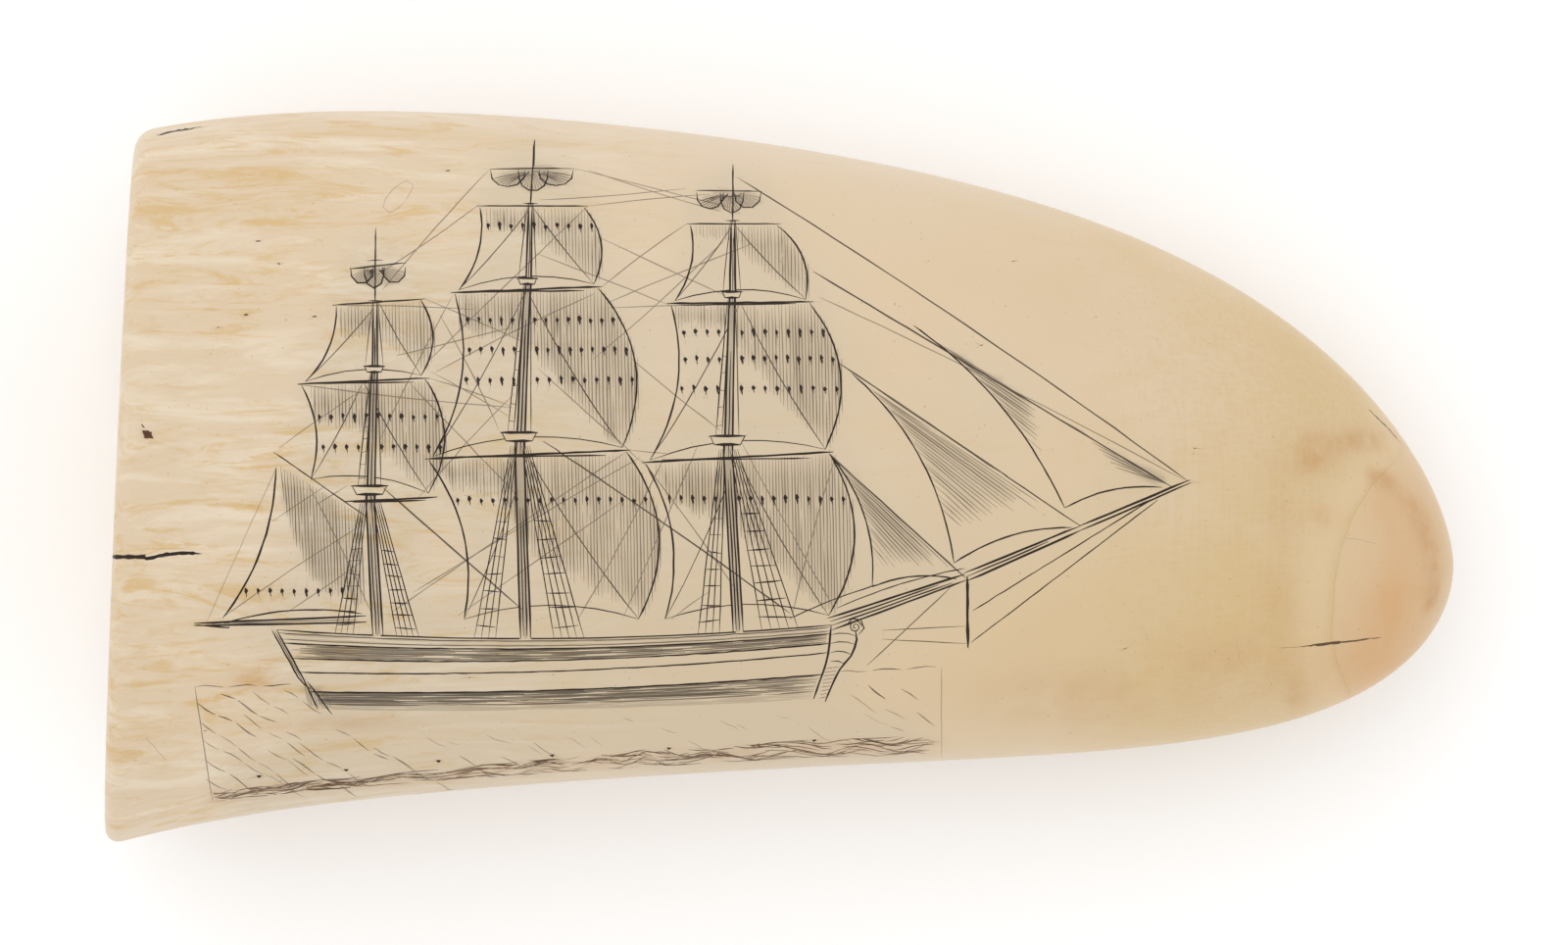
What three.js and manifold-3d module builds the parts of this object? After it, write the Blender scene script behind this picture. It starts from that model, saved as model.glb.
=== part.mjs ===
// A scrimshaw whale tooth: the tooth of a sperm whale, sawn off square at the root, polished,
// and engraved on one broad face with a full-rigged ship above a panel of sea.
// The tooth lies on its plain face. X runs from the sawn root to the tip, Y across the broad
// face towards the ship's mastheads, and Z up out of the engraved face. All sizes are millimetres.
import * as THREE from "three";
import Module from "manifold-3d";

const wasm = await Module();
wasm.setup();

// The tooth.
const LENGTH = 151; // from the middle of the saw cut to the tip
const ROOT_WIDTH = 80.8; // across the broad face at the root
const ROOT_THICKNESS = 48;
const SAW_LEAN = 0.0425; // how far the saw cut runs along the tooth for each mm across it
const EDGE_ROUND = 2; // rounding of the sawn edge
const ROOT_FLARE = 4.7; // how far the root swings down to the lower edge
const TIP_DROP = 13.5; // how far the tip curves down to the lower edge
const AXIS_OFFSET = 2.7; // the middle of the broad face above the picture's own middle line
const BELLY_FLAT_DEPTH = 0.5; // how much is rubbed off the belly where the tooth lies
const BELLY_LEAN = 5.5; // how far the axis sinks from root to tip as the tooth lies

// The pulp cavity, a hollow cone that opens in the sawn root.
const CAVITY_WIDTH = 38;
const CAVITY_THICKNESS = 17;
const CAVITY_DEPTH = 40;
const CAVITY_LIP = 0.8; // rounding of its mouth

// The shape of the tooth, as shares and powers of its own length.
const WIDTH_TAPER = 0.141;
const WIDTH_TAPER_SQUARED = 0.233;
const TIP_BLUNTNESS = 8.4;
const TIP_ROUNDING = 0.558;
const FLARE_POWER = 8.2;
const DROP_POWER = 3.5;
const TIP_FATTENING = 0.12; // the section grows rounder towards the tip by this share
const SECTION_SQUARENESS = 2.25; // 2 is a plain oval
const CONE_POWER = 1.3;
const CONE_ROUNDING = 0.8;

// How finely the surface is divided.
const AROUND = 40;
const ALONG = 24;
const ROUND_STEPS = 3;
const CONE_STEPS = 6;
const BELLY_SAMPLES = 100; // places where the belly is searched for its lowest line

// The engraving's cuts.
const CUT_DEPTH = 0.3;
const BROAD_CUT = 1.3; // width of the hull's dark bands
const STOUT_CUT = 0.8; // lower masts and bowsprit
const PLAIN_CUT = 0.45; // yards, outlines of hull and sea
const FINE_CUT = 0.34; // edges of sails and ropes
const CUT_OVERRUN = 1; // how far a cutter stands out of the surface
const CUT_END = 0.35; // a cut's ends are this share of its depth and width
const CUT_STEP = 7; // longest straight stretch of a cut
const EDGE_SHARE = 0.985; // no cut comes nearer to the outline than this share of the half width

// The size of the tooth that the picture was laid out on, and its places there, as distances
// along the tooth from the middle of the saw cut and across it from the picture's middle line.
const PICTURE_LENGTH = 151;
const PICTURE_WIDTH = 80.8;
const STERN = [[18, -17.8], [21.1, -23.5], [22.2, -26.8]];
const STEM = [[80.4, -17.3], [80, -21], [78.4, -25.7]];
const SHEER = -0.02; // the hull's lines sag by this share of their length
const HULL_LINES = [
  { down: 0, width: PLAIN_CUT },
  { down: 0.22, width: BROAD_CUT },
  { down: 0.42, width: FINE_CUT },
  { down: 0.75, width: PLAIN_CUT },
  { down: 0.92, width: BROAD_CUT },
];
const MASTS = [
  {
    deck: [29.4, -18.1],
    top: [28.5, -2.1],
    truck: [29.1, 27.4],
    yards: [
      [[26.2, 22.8], [32.6, 23.5]],
      [[24.3, 18.7], [34.7, 19.4]],
      [[20.4, 9.8], [35.2, 10.5]],
      [[25.6, -3.4], [36.1, -2.9]],
    ],
    sails: 2,
    clews: [[21, -1.2], [36, -2.7]],
    shrouds: [[25, -17.6], [33.4, -18]],
  },
  {
    deck: [46, -18.4],
    top: [45.3, 3.9],
    truck: [46.9, 37.5],
    yards: [
      [[41.9, 34.1], [51.4, 34.2]],
      [[40.4, 29.9], [53, 29.9]],
      [[37.6, 20.1], [54.6, 20.8]],
      [[34.7, 1.4], [57.8, 2.4]],
    ],
    sails: 3,
    clews: [[38.2, -16.4], [59.6, -16.4]],
    shrouds: [[40.6, -18.1], [51.8, -18.4]],
  },
  {
    deck: [69.9, -18.1],
    top: [68.7, 3.5],
    truck: [69.3, 34.7],
    yards: [
      [[65.1, 31.7], [72.6, 31.6]],
      [[64.1, 27.9], [74.7, 27.9]],
      [[61.9, 18.9], [78.4, 19.1]],
      [[59.1, 1], [80.6, 2.2]],
    ],
    sails: 3,
    clews: [[60.8, -16.4], [81, -16.4]],
    shrouds: [[65.8, -18.2], [75.8, -17.8]],
  },
];
const TOP_WIDTH = 3.8; // the platform at the head of a lower mast
const YARD_ARM = 0.9; // a sail's corners lie this far inside the ends of its yards
const LEFT_BOW = 0.11; // how far a sail's edges bulge, as shares of their length
const RIGHT_BOW = 0.17;
const FOOT_BOW = 0.08;
const FURL_BOW = -0.3;
const GAFF = [[17.7, 2.2], [27.9, -5]];
const BOOM = [[8.8, -17.2], [28.1, -16.6]];
const SPANKER_PEAK = 0.05; // where the spanker's edge leaves the gaff and meets the boom
const SPANKER_CLEW = 0.17;
const BOWSPRIT = [[80.2, -17.2], [95.5, -11.8], [108.4, -6.4], [120.9, -1.1]];
const STRIKER = [[95.7, -11.8], [95.8, -19.9]];
const HEADSAILS = [
  { peak: [80.2, 1.9], tack: [95.5, -12], clew: [85, -13] },
  { peak: [81.1, 12.3], tack: [108.5, -6.2], clew: [94.2, -10.3] },
  { peak: [78.4, 22.5], tack: [118.7, -1.7], clew: [106.7, -4.1] },
];
const HEADSAIL_HEAD = 0.1; // a headsail's edge leaves its stay this share of the way down
const ROYAL_STAY = [[69.8, 33.2], [120.6, -1.1]];
const STAYS = [
  [[48, 3.4], [75.6, -16]],
  [[30.1, -1.9], [45.7, -15.3]],
  [[57.8, 12.8], [67.9, 4.6]],
];
const SEA_CORNERS = [[8.8, -24.2], [10.6, -37.2], [92.9, -32.5], [92.8, -22]];
const SEA_BREAK = [[21.4, -24.1], [80.4, -22.6]]; // the hull hides the sea's upper edge between these
const SEA_BED = 1.6; // height of the dark band along the sea's lower edge
const WAVES = 7; // cuts of broken water
const WAVE_LEVEL = 0.3; // their height, as a share of the way down the panel
const WAVE_LENGTH = 13;
const WAVE_DROP = 4.6;
const WAVE_BOW = 0.07;

const clamp = THREE.MathUtils.clamp;
const signedPower = (value, power) => Math.sign(value) * Math.abs(value) ** power;

// The section at a station, from 0 at the sawn root to 1 at the tip.
function outlineHalfWidth(station) {
  const taper = 1 - WIDTH_TAPER * station - WIDTH_TAPER_SQUARED * station ** 2;
  return (ROOT_WIDTH / 2) * taper * (1 - station ** TIP_BLUNTNESS) ** TIP_ROUNDING;
}

function edgeInset(station) {
  const left = Math.max(EDGE_ROUND - station * LENGTH, 0);
  return EDGE_ROUND - Math.sqrt(EDGE_ROUND ** 2 - left ** 2);
}

const flatness = (station) => (ROOT_THICKNESS / ROOT_WIDTH) * (1 + TIP_FATTENING * station);
const halfWidth = (station) => outlineHalfWidth(station) - edgeInset(station);
const halfThickness = (station) =>
  outlineHalfWidth(station) * flatness(station) - edgeInset(station);
const axisAcross = (station) =>
  AXIS_OFFSET - ROOT_FLARE * (1 - station) ** FLARE_POWER - TIP_DROP * station ** DROP_POWER;

// The axis is as high as puts the lowest line of the belly at the depth of the flat below zero.
const bellyStations = Array.from({ length: BELLY_SAMPLES + 1 }, (_, i) => i / BELLY_SAMPLES);
const bellyHeights = bellyStations.map((station) => -BELLY_LEAN * station - halfThickness(station));
const lowestBelly = Math.min(...bellyHeights);
const axisUp = (station) => -BELLY_LEAN * station - lowestBelly - BELLY_FLAT_DEPTH;

// A point of the section at a station, for an angle round it.
function sectionPoint(station, angle, wide, thick) {
  const power = 2 / SECTION_SQUARENESS;
  const y = axisAcross(station) + wide * signedPower(Math.cos(angle), power);
  const z = axisUp(station) + thick * signedPower(Math.sin(angle), power);
  return new THREE.Vector3(station * LENGTH + SAW_LEAN * y * (1 - station), y, z);
}

const ring = (station, wide, thick) =>
  Array.from({ length: AROUND }, (_, i) =>
    sectionPoint(station, (2 * Math.PI * (i + 0.5)) / AROUND, wide, thick),
  );

// The rings from the tip, over the outside, round the sawn edge and down into the pulp cavity.
function toothRings() {
  const rings = [];
  for (let i = ALONG - 1; i > 0; i--) {
    const station = Math.sin((Math.PI / 2) * (i / ALONG));
    rings.push(ring(station, halfWidth(station), halfThickness(station)));
  }
  for (let i = ROUND_STEPS; i >= 0; i--) {
    const turn = (Math.PI / 2) * (i / ROUND_STEPS);
    const station = (EDGE_ROUND * (1 - Math.cos(turn))) / LENGTH;
    rings.push(ring(station, halfWidth(station), halfThickness(station)));
  }
  for (let i = 0; i <= ROUND_STEPS; i++) {
    const turn = (Math.PI / 2) * (i / ROUND_STEPS);
    const lip = CAVITY_LIP * (1 - Math.sin(turn));
    const station = (CAVITY_LIP * (1 - Math.cos(turn))) / LENGTH;
    rings.push(ring(station, CAVITY_WIDTH / 2 + lip, CAVITY_THICKNESS / 2 + lip));
  }
  for (let i = 1; i < CONE_STEPS; i++) {
    const share = i / CONE_STEPS;
    const station = (CAVITY_LIP + share * (CAVITY_DEPTH - CAVITY_LIP)) / LENGTH;
    const narrowing = (1 - share ** CONE_POWER) ** CONE_ROUNDING;
    rings.push(
      ring(station, (CAVITY_WIDTH / 2) * narrowing, (CAVITY_THICKNESS / 2) * narrowing),
    );
  }
  return rings;
}

function manifoldOf(points, triangles) {
  const vertProperties = new Float32Array(points.flatMap((p) => [p.x, p.y, p.z]));
  const triVerts = new Uint32Array(triangles.flat());
  return new wasm.Manifold(new wasm.Mesh({ numProp: 3, vertProperties, triVerts }));
}

// A closed skin over rings of equal count, closed by a point or a flat cap at each end.
function loft(rings, startPoint, endPoint) {
  const count = rings[0].length;
  const points = [...rings.flat(), startPoint, endPoint];
  const start = points.length - 2;
  const end = points.length - 1;
  const triangles = [];
  for (let i = 0; i < count; i++) {
    const next = (i + 1) % count;
    triangles.push([start, i, next]);
    for (let r = 0; r + 1 < rings.length; r++) {
      const a = r * count;
      const b = a + count;
      triangles.push([a + i, b + i, b + next], [a + i, b + next, a + next]);
    }
    const last = (rings.length - 1) * count;
    triangles.push([end, last + next, last + i]);
  }
  return manifoldOf(points, triangles);
}

function plainTooth() {
  const tip = sectionPoint(1, 0, 0, 0);
  const coneEnd = sectionPoint(CAVITY_DEPTH / LENGTH, 0, 0, 0);
  const body = loft(toothRings(), tip, coneEnd);
  const floorBlock = new THREE.BoxGeometry(4 * LENGTH, 4 * ROOT_WIDTH, 4 * ROOT_THICKNESS);
  floorBlock.translate(0, 0, -2 * ROOT_THICKNESS);
  return body.subtract(manifoldFromBox(floorBlock));
}

function manifoldFromBox(geometry) {
  geometry.computeBoundingBox();
  const { min, max } = geometry.boundingBox;
  const corners = [0, 1, 2, 3, 4, 5, 6, 7].map(
    (i) =>
      new THREE.Vector3(i & 1 ? max.x : min.x, i & 2 ? max.y : min.y, i & 4 ? max.z : min.z),
  );
  const faces = [
    [0, 2, 3, 1],
    [4, 5, 7, 6],
    [0, 1, 5, 4],
    [2, 6, 7, 3],
    [0, 4, 6, 2],
    [1, 3, 7, 5],
  ];
  return manifoldOf(corners, faces.flatMap(([a, b, c, d]) => [[a, b, c], [a, c, d]]));
}

// The engraved face above a place in plan.
function facePoint(x, y) {
  const station = clamp((x - SAW_LEAN * y) / (LENGTH - SAW_LEAN * y), 0, 1);
  const share = (y - axisAcross(station)) / halfWidth(station);
  const across = Math.min(Math.abs(share), EDGE_SHARE) ** SECTION_SQUARENESS;
  const z = axisUp(station) + halfThickness(station) * (1 - across) ** (1 / SECTION_SQUARENESS);
  return new THREE.Vector3(x, y, z);
}

function faceNormal(x, y) {
  const step = 0.1;
  const alongFace = facePoint(x + step, y).sub(facePoint(x - step, y));
  const acrossFace = facePoint(x, y + step).sub(facePoint(x, y - step));
  return alongFace.cross(acrossFace).normalize();
}

// A V-shaped cutter that follows a line of the picture over the engraved face.
function cutter(line, width) {
  const places = line.map(([x, y]) =>
    facePoint((x * LENGTH) / PICTURE_LENGTH, (y * ROOT_WIDTH) / PICTURE_WIDTH),
  );
  const last = places.length - 1;
  const sections = places.map((place, i) => {
    const run = places[Math.min(i + 1, last)].clone().sub(places[Math.max(i - 1, 0)]);
    const up = faceNormal(place.x, place.y);
    const side = up.clone().cross(run).normalize();
    const fade = i === 0 || i === last ? CUT_END : 1;
    const depth = CUT_DEPTH * fade;
    const spread = (width / 2) * fade * (1 + CUT_OVERRUN / depth);
    const top = place.clone().addScaledVector(up, CUT_OVERRUN);
    return [
      place.clone().addScaledVector(up, -depth),
      top.clone().addScaledVector(side, -spread),
      top.clone().addScaledVector(side, spread),
    ];
  });
  const middle = (points) =>
    points.reduce((sum, p) => sum.add(p), new THREE.Vector3()).divideScalar(points.length);
  return loft(sections, middle(sections[0]), middle(sections[last]));
}

const between = ([x0, y0], [x1, y1], share) => [x0 + (x1 - x0) * share, y0 + (y1 - y0) * share];

// Points of a line with a sideways bow, its height given as a share of its length.
function bowed(from, to, bow) {
  const length = Math.hypot(to[0] - from[0], to[1] - from[1]);
  const steps = Math.max(Math.ceil(length / CUT_STEP), bow === 0 ? 2 : 3);
  return Array.from({ length: steps + 1 }, (_, i) => {
    const share = i / steps;
    const lift = 4 * bow * share * (1 - share);
    const [x, y] = between(from, to, share);
    return [x - (to[1] - from[1]) * lift, y + (to[0] - from[0]) * lift];
  });
}

const straight = (from, to) => bowed(from, to, 0);

// A point of the stern or the stem, from 0 at the rail to 1 at the water.
function downPost(post, share) {
  const place = share * (post.length - 1);
  const i = Math.min(Math.floor(place), post.length - 2);
  return between(post[i], post[i + 1], place - i);
}

// The hull's lines run from stern to stem at shares of the way down from the rail.
function hullCuts() {
  const hullLine = (share) =>
    bowed(downPost(STERN, share), downPost(STEM, share), SHEER * (1 - share / 2));
  return [
    ...HULL_LINES.map(({ down, width }) => cutter(hullLine(down), width)),
    cutter(STERN, PLAIN_CUT),
    cutter(STEM, PLAIN_CUT),
  ];
}

// A square sail between the ends of two yards, or of a yard and the deck.
function sailCuts([headLeft, headRight], [clewLeft, clewRight]) {
  const inside = YARD_ARM / 2;
  const head = [
    [headLeft[0] + inside, headLeft[1] - inside],
    [headRight[0] - inside, headRight[1] - inside],
  ];
  const foot = [
    [clewLeft[0] + YARD_ARM, clewLeft[1] + inside],
    [clewRight[0] - YARD_ARM, clewRight[1] + inside],
  ];
  return [
    cutter(bowed(head[0], foot[0], LEFT_BOW), FINE_CUT),
    cutter(bowed(head[1], foot[1], RIGHT_BOW), FINE_CUT),
    cutter(bowed(foot[0], foot[1], FOOT_BOW), FINE_CUT),
  ];
}

function mastCuts({ deck, top, truck, yards, sails, clews, shrouds }) {
  const [royal, ...working] = yards;
  const cuts = [
    cutter(straight(deck, top), STOUT_CUT),
    cutter(straight(top, truck), PLAIN_CUT),
    cutter(
      straight([top[0] - TOP_WIDTH / 2, top[1]], [top[0] + TOP_WIDTH / 2, top[1]]),
      PLAIN_CUT,
    ),
    cutter(bowed(royal[0], royal[1], FURL_BOW), FINE_CUT),
    ...yards.map(([left, right]) => cutter(straight(left, right), PLAIN_CUT)),
    ...shrouds.map((foot) => cutter(straight(top, foot), FINE_CUT)),
  ];
  for (let i = 0; i < sails; i++) {
    const foot = i + 1 < sails ? working[i + 1] : clews;
    cuts.push(...sailCuts(working[i], foot));
  }
  return cuts;
}

function foreAndAftCuts() {
  const cuts = [
    cutter(straight(...GAFF), PLAIN_CUT),
    cutter(straight(...BOOM), PLAIN_CUT),
    cutter(
      bowed(between(...GAFF, SPANKER_PEAK), between(...BOOM, SPANKER_CLEW), LEFT_BOW),
      FINE_CUT,
    ),
    cutter(straight(...STRIKER), PLAIN_CUT),
    cutter(straight(STRIKER[1], BOWSPRIT[2]), FINE_CUT),
    cutter(straight(STRIKER[1], BOWSPRIT[3]), FINE_CUT),
    cutter(straight(BOWSPRIT[0], BOWSPRIT[1]), STOUT_CUT),
    cutter(straight(BOWSPRIT[1], BOWSPRIT[2]), PLAIN_CUT),
    cutter(straight(BOWSPRIT[2], BOWSPRIT[3]), PLAIN_CUT),
  ];
  for (const { peak, tack, clew } of HEADSAILS) {
    cuts.push(cutter(straight(peak, tack), FINE_CUT));
    cuts.push(cutter(bowed(between(peak, clew, HEADSAIL_HEAD), clew, LEFT_BOW), FINE_CUT));
  }
  for (const [from, to] of [ROYAL_STAY, ...STAYS]) {
    cuts.push(cutter(straight(from, to), FINE_CUT));
  }
  return cuts;
}

// The panel of sea: its frame, the dark band along its foot and a row of short waves.
function seaCuts() {
  const [topLeft, bottomLeft, bottomRight, topRight] = SEA_CORNERS;
  const lift = ([x, y]) => [x, y + SEA_BED / 2];
  const cuts = [
    cutter(straight(topLeft, bottomLeft), PLAIN_CUT),
    cutter(straight(topRight, bottomRight), PLAIN_CUT),
    cutter(straight(topLeft, SEA_BREAK[0]), PLAIN_CUT),
    cutter(straight(SEA_BREAK[1], topRight), PLAIN_CUT),
    cutter(straight(lift(bottomLeft), lift(bottomRight)), BROAD_CUT),
  ];
  for (let i = 0; i < WAVES; i++) {
    const share = (i + 0.5) / WAVES;
    const crest = between(
      between(topLeft, bottomLeft, WAVE_LEVEL),
      between(topRight, bottomRight, WAVE_LEVEL),
      share,
    );
    const start = [crest[0] - WAVE_LENGTH / 2, crest[1]];
    const end = [crest[0] + WAVE_LENGTH / 2, crest[1] - WAVE_DROP];
    cuts.push(cutter(bowed(start, end, WAVE_BOW), FINE_CUT));
  }
  return cuts;
}

function engravedTooth() {
  const cuts = [
    ...hullCuts(),
    ...MASTS.flatMap(mastCuts),
    ...foreAndAftCuts(),
    ...seaCuts(),
  ];
  const allCuts = cuts.reduce((joined, cut) => joined.add(cut));
  return plainTooth().subtract(allCuts);
}

function meshOf(solid, name, material) {
  const { vertProperties, triVerts } = solid.getMesh();
  const geometry = new THREE.BufferGeometry();
  geometry.setAttribute("position", new THREE.BufferAttribute(vertProperties, 3));
  geometry.setIndex(new THREE.BufferAttribute(triVerts, 1));
  geometry.computeBoundingBox();
  const middle = geometry.boundingBox.getCenter(new THREE.Vector3());
  geometry.translate(-middle.x, -middle.y, -geometry.boundingBox.min.z);
  const mesh = new THREE.Mesh(geometry, material);
  mesh.name = name;
  return mesh;
}

const ivory = new THREE.MeshStandardMaterial({ color: 0xdfcaa8, roughness: 0.35, metalness: 0 });
const group = new THREE.Group();
group.add(meshOf(engravedTooth(), "whale_tooth", ivory));
export default group;
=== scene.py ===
"""A scrimshaw whale tooth lying on a pale floor, its engraved face up.

The tooth is one closed mesh. Its engraved face is a fine surface in which every stroke of the
picture is a real cut with ink in it, and the rest is rings round the tooth. Places and sizes are
in millimetres until the mesh is made: x runs from the saw cut to the tip, y across the broad face
and z up out of it.
"""

import math
import random

import bmesh
import bpy
import numpy as np
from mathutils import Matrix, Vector
from mathutils.geometry import delaunay_2d_cdt


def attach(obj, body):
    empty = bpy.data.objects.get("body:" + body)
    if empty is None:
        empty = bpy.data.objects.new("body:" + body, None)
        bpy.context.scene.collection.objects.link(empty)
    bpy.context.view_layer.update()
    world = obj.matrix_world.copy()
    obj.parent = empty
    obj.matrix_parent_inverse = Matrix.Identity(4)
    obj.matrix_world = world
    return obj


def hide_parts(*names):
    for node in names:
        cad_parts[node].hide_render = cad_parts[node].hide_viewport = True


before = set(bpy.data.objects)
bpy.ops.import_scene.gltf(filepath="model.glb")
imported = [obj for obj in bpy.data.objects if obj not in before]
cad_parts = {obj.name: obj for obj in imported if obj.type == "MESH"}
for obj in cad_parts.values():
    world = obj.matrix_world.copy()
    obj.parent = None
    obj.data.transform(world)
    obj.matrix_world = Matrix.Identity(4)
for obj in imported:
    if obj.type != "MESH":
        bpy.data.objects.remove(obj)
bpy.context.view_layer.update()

MM = 0.001
TOOTH_NODE = "whale_tooth"

# The tooth, the same sizes as its solid.
LENGTH = 151.0
ROOT_WIDTH = 80.8
ROOT_THICKNESS = 48.0
SAW_LEAN = 0.0425
EDGE_ROUND = 2.0
ROOT_FLARE = 4.7
TIP_DROP = 13.5
AXIS_OFFSET = 2.7
BELLY_FLAT_DEPTH = 0.5
BELLY_LEAN = 5.5
CAVITY_WIDTH = 38.0
CAVITY_THICKNESS = 17.0
CAVITY_DEPTH = 40.0
CAVITY_LIP = 0.8
WIDTH_TAPER = 0.141
WIDTH_TAPER_SQUARED = 0.233
TIP_BLUNTNESS = 8.4
TIP_ROUNDING = 0.558
FLARE_POWER = 8.2
DROP_POWER = 3.5
TIP_FATTENING = 0.12
SECTION_SQUARENESS = 2.25
CONE_POWER = 1.3
CONE_ROUNDING = 0.8

SAW_CUT_PLACE = (-74.643, 0.425, 0.0)  # where the middle of the saw cut lies in the frame

# How finely the surface is divided.
AROUND = 192  # corners of a ring
STEP = 1.3  # between rings on the engraved face
FIRST_RING = 2.6  # the engraved face starts here, past the rounded edge
TILES_ALONG = 37
TILE = 3  # steps in a tile, each way
FACE_FROM = 3  # corners of a ring at which the engraved face starts and ends
FACE_TO = 93
ARC = 40.0  # mm of surface per radian round a ring, used to lay the face out flat
TIP_RINGS = 12
EDGE_RINGS = 5
BUTT_RINGS = 10
LIP_RINGS = 3
CONE_RINGS = 14
SMALLEST_PIECE = 1e-6  # square millimetres of a stroke in one tile
WELD = 4  # decimals of a millimetre at which corners of two tiles are the same

# The strokes.
STROKE_STEP = 1.1  # longest straight stretch of a bent stroke
HATCH_STEP = 2.6  # of a nearly straight one
COVER_STEP = 0.12  # how finely a stroke is cut off behind something
GROOVE_FROM = 0.15  # strokes at least this wide are cut as a V, finer ones as a scratch
GROOVE_SLOPE = 0.4  # depth of a V as a share of its width
END_WIDTH = 0.35  # a stroke narrows to this share at its ends
WIDTH_PLAY = 0.2  # how far its width strays, as a share
WOBBLE = 0.015  # how far it wavers
HATCH_WOBBLE = 0.02
BREAK_CHANCE = 0.12  # of a hatch line, which then has a gap of twice this share of its length
BREAK_HALF = 0.03
SHADING_WIDTH = 0.14  # finer hatch lines grey the ivory between them
WASH_INK = 0.4  # a fainter stroke is a wash of ink, with no depth

# Widths of strokes.
BOLD = 0.34
PLATFORM_LINE = 0.3
PLAIN = 0.24
EDGE = 0.23
LEECH = 0.2
ROPE = 0.18
FINE = 0.13
HATCH = 0.115

dice = random.Random(11)


# The surface of the tooth.
def signed_power(value, power):
    return np.sign(value) * np.abs(value) ** power


def outline_half_width(t):
    taper = 1 - WIDTH_TAPER * t - WIDTH_TAPER_SQUARED * t**2
    return ROOT_WIDTH / 2 * taper * np.clip(1 - t**TIP_BLUNTNESS, 0, 1) ** TIP_ROUNDING


def edge_inset(t):
    left = np.maximum(EDGE_ROUND - t * LENGTH, 0)
    return EDGE_ROUND - np.sqrt(EDGE_ROUND**2 - left**2)


def half_width(t):
    return outline_half_width(t) - edge_inset(t)


def half_thickness(t):
    flatness = ROOT_THICKNESS / ROOT_WIDTH * (1 + TIP_FATTENING * t)
    return outline_half_width(t) * flatness - edge_inset(t)


def axis_across(t):
    return AXIS_OFFSET - ROOT_FLARE * (1 - t) ** FLARE_POWER - TIP_DROP * t**DROP_POWER


stations = np.linspace(0, 1, 101)
LOWEST_BELLY = np.min(-BELLY_LEAN * stations - half_thickness(stations))


def axis_up(t):
    return -BELLY_LEAN * t - LOWEST_BELLY - BELLY_FLAT_DEPTH


def section(t, angle, wide, thick):
    """Points of the section at stations t, at angles round it."""
    power = 2 / SECTION_SQUARENESS
    y = axis_across(t) + wide * signed_power(np.cos(angle), power)
    z = axis_up(t) + thick * signed_power(np.sin(angle), power)
    x = t * LENGTH + SAW_LEAN * y * (1 - t)
    return np.stack(np.broadcast_arrays(x, y, z), axis=-1)


def surface(t, angle):
    return section(t, angle, half_width(t), half_thickness(t))


def flatten(places):
    """Places of the picture in plan, laid out flat: distance along the axis and round the ring."""
    x, y = places[..., 0], places[..., 1]
    t = np.clip((x - SAW_LEAN * y) / (LENGTH - SAW_LEAN * y), 0, 1)
    share = np.clip((y - axis_across(t)) / half_width(t), -0.999, 0.999)
    angle = np.arccos(signed_power(share, SECTION_SQUARENESS / 2))
    return np.stack([t * LENGTH, angle * ARC], axis=-1)


def unflatten(flat):
    return surface(np.clip(flat[..., 0] / LENGTH, 0, 1), flat[..., 1] / ARC)


# The picture, in plan.
strokes = []  # points, half widths, width, strength of the ink
hatching = []  # the fine lines that shade an area: points, width, ink
picture_lines = []  # all lines of the picture, likewise


def resample(points, step):
    points = np.asarray(points, float)
    runs = np.linalg.norm(np.diff(points, axis=0), axis=1)
    along = np.concatenate([[0], np.cumsum(runs)])
    count = max(int(math.ceil(along[-1] / step)), 1) + 1
    wanted = np.linspace(0, along[-1], count)
    return np.stack([np.interp(wanted, along, points[:, i]) for i in (0, 1)], axis=-1)


def stroke(points, width=PLAIN, ink=1.0, step=STROKE_STEP, wobble=WOBBLE):
    """One stroke of the graver: a line that narrows at its ends and wavers a little."""
    line = resample(points, step)
    count = len(line)
    run = np.gradient(line, axis=0)
    run /= np.maximum(np.linalg.norm(run, axis=1, keepdims=True), 1e-9)
    side = np.stack([-run[:, 1], run[:, 0]], axis=-1)
    drift = np.array([dice.gauss(0, wobble) for _ in range(count)])
    line = line + side * drift[:, None] * min(count / 4, 1)
    half = np.array([width / 2 * (1 - WIDTH_PLAY + 2 * WIDTH_PLAY * dice.random()) for _ in range(count)])
    half[0] *= END_WIDTH
    half[-1] *= END_WIDTH
    strokes.append((line, half, width, ink))


def cover(outline):
    """Takes earlier strokes away inside an outline, counter-clockwise, so that the next lie in front."""
    corners = np.array(outline, float)
    sides = np.roll(corners, -1, axis=0) - corners
    low, high = corners.min(axis=0), corners.max(axis=0)
    kept = []
    for line, half, width, ink in strokes:
        apart = (line.max(axis=0) < low).any() or (line.min(axis=0) > high).any()
        fine = line if apart else resample(line, COVER_STEP)
        offset = fine[:, None] - corners[None]
        hidden = (sides[None, :, 0] * offset[..., 1] - sides[None, :, 1] * offset[..., 0] > 0).all(axis=1)
        if apart or not hidden.any():
            kept.append((line, half, width, ink))
            continue
        halves = np.interp(np.linspace(0, 1, len(fine)), np.linspace(0, 1, len(half)), half)
        changes = np.flatnonzero(np.diff(hidden.astype(int))) + 1
        for run in np.split(np.arange(len(fine)), changes):
            if not hidden[run[0]] and len(run) > 3:
                part = resample(fine[run], HATCH_STEP)
                part_half = np.interp(np.linspace(0, 1, len(part)), np.linspace(0, 1, len(run)), halves[run])
                kept.append((part, part_half, width, ink))
    strokes[:] = kept


def mix(a, b, share):
    """The place at a share of the way from a to b."""
    return (a[0] + (b[0] - a[0]) * share, a[1] + (b[1] - a[1]) * share)


def moved(place, dx, dy):
    return (place[0] + dx, place[1] + dy)


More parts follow.
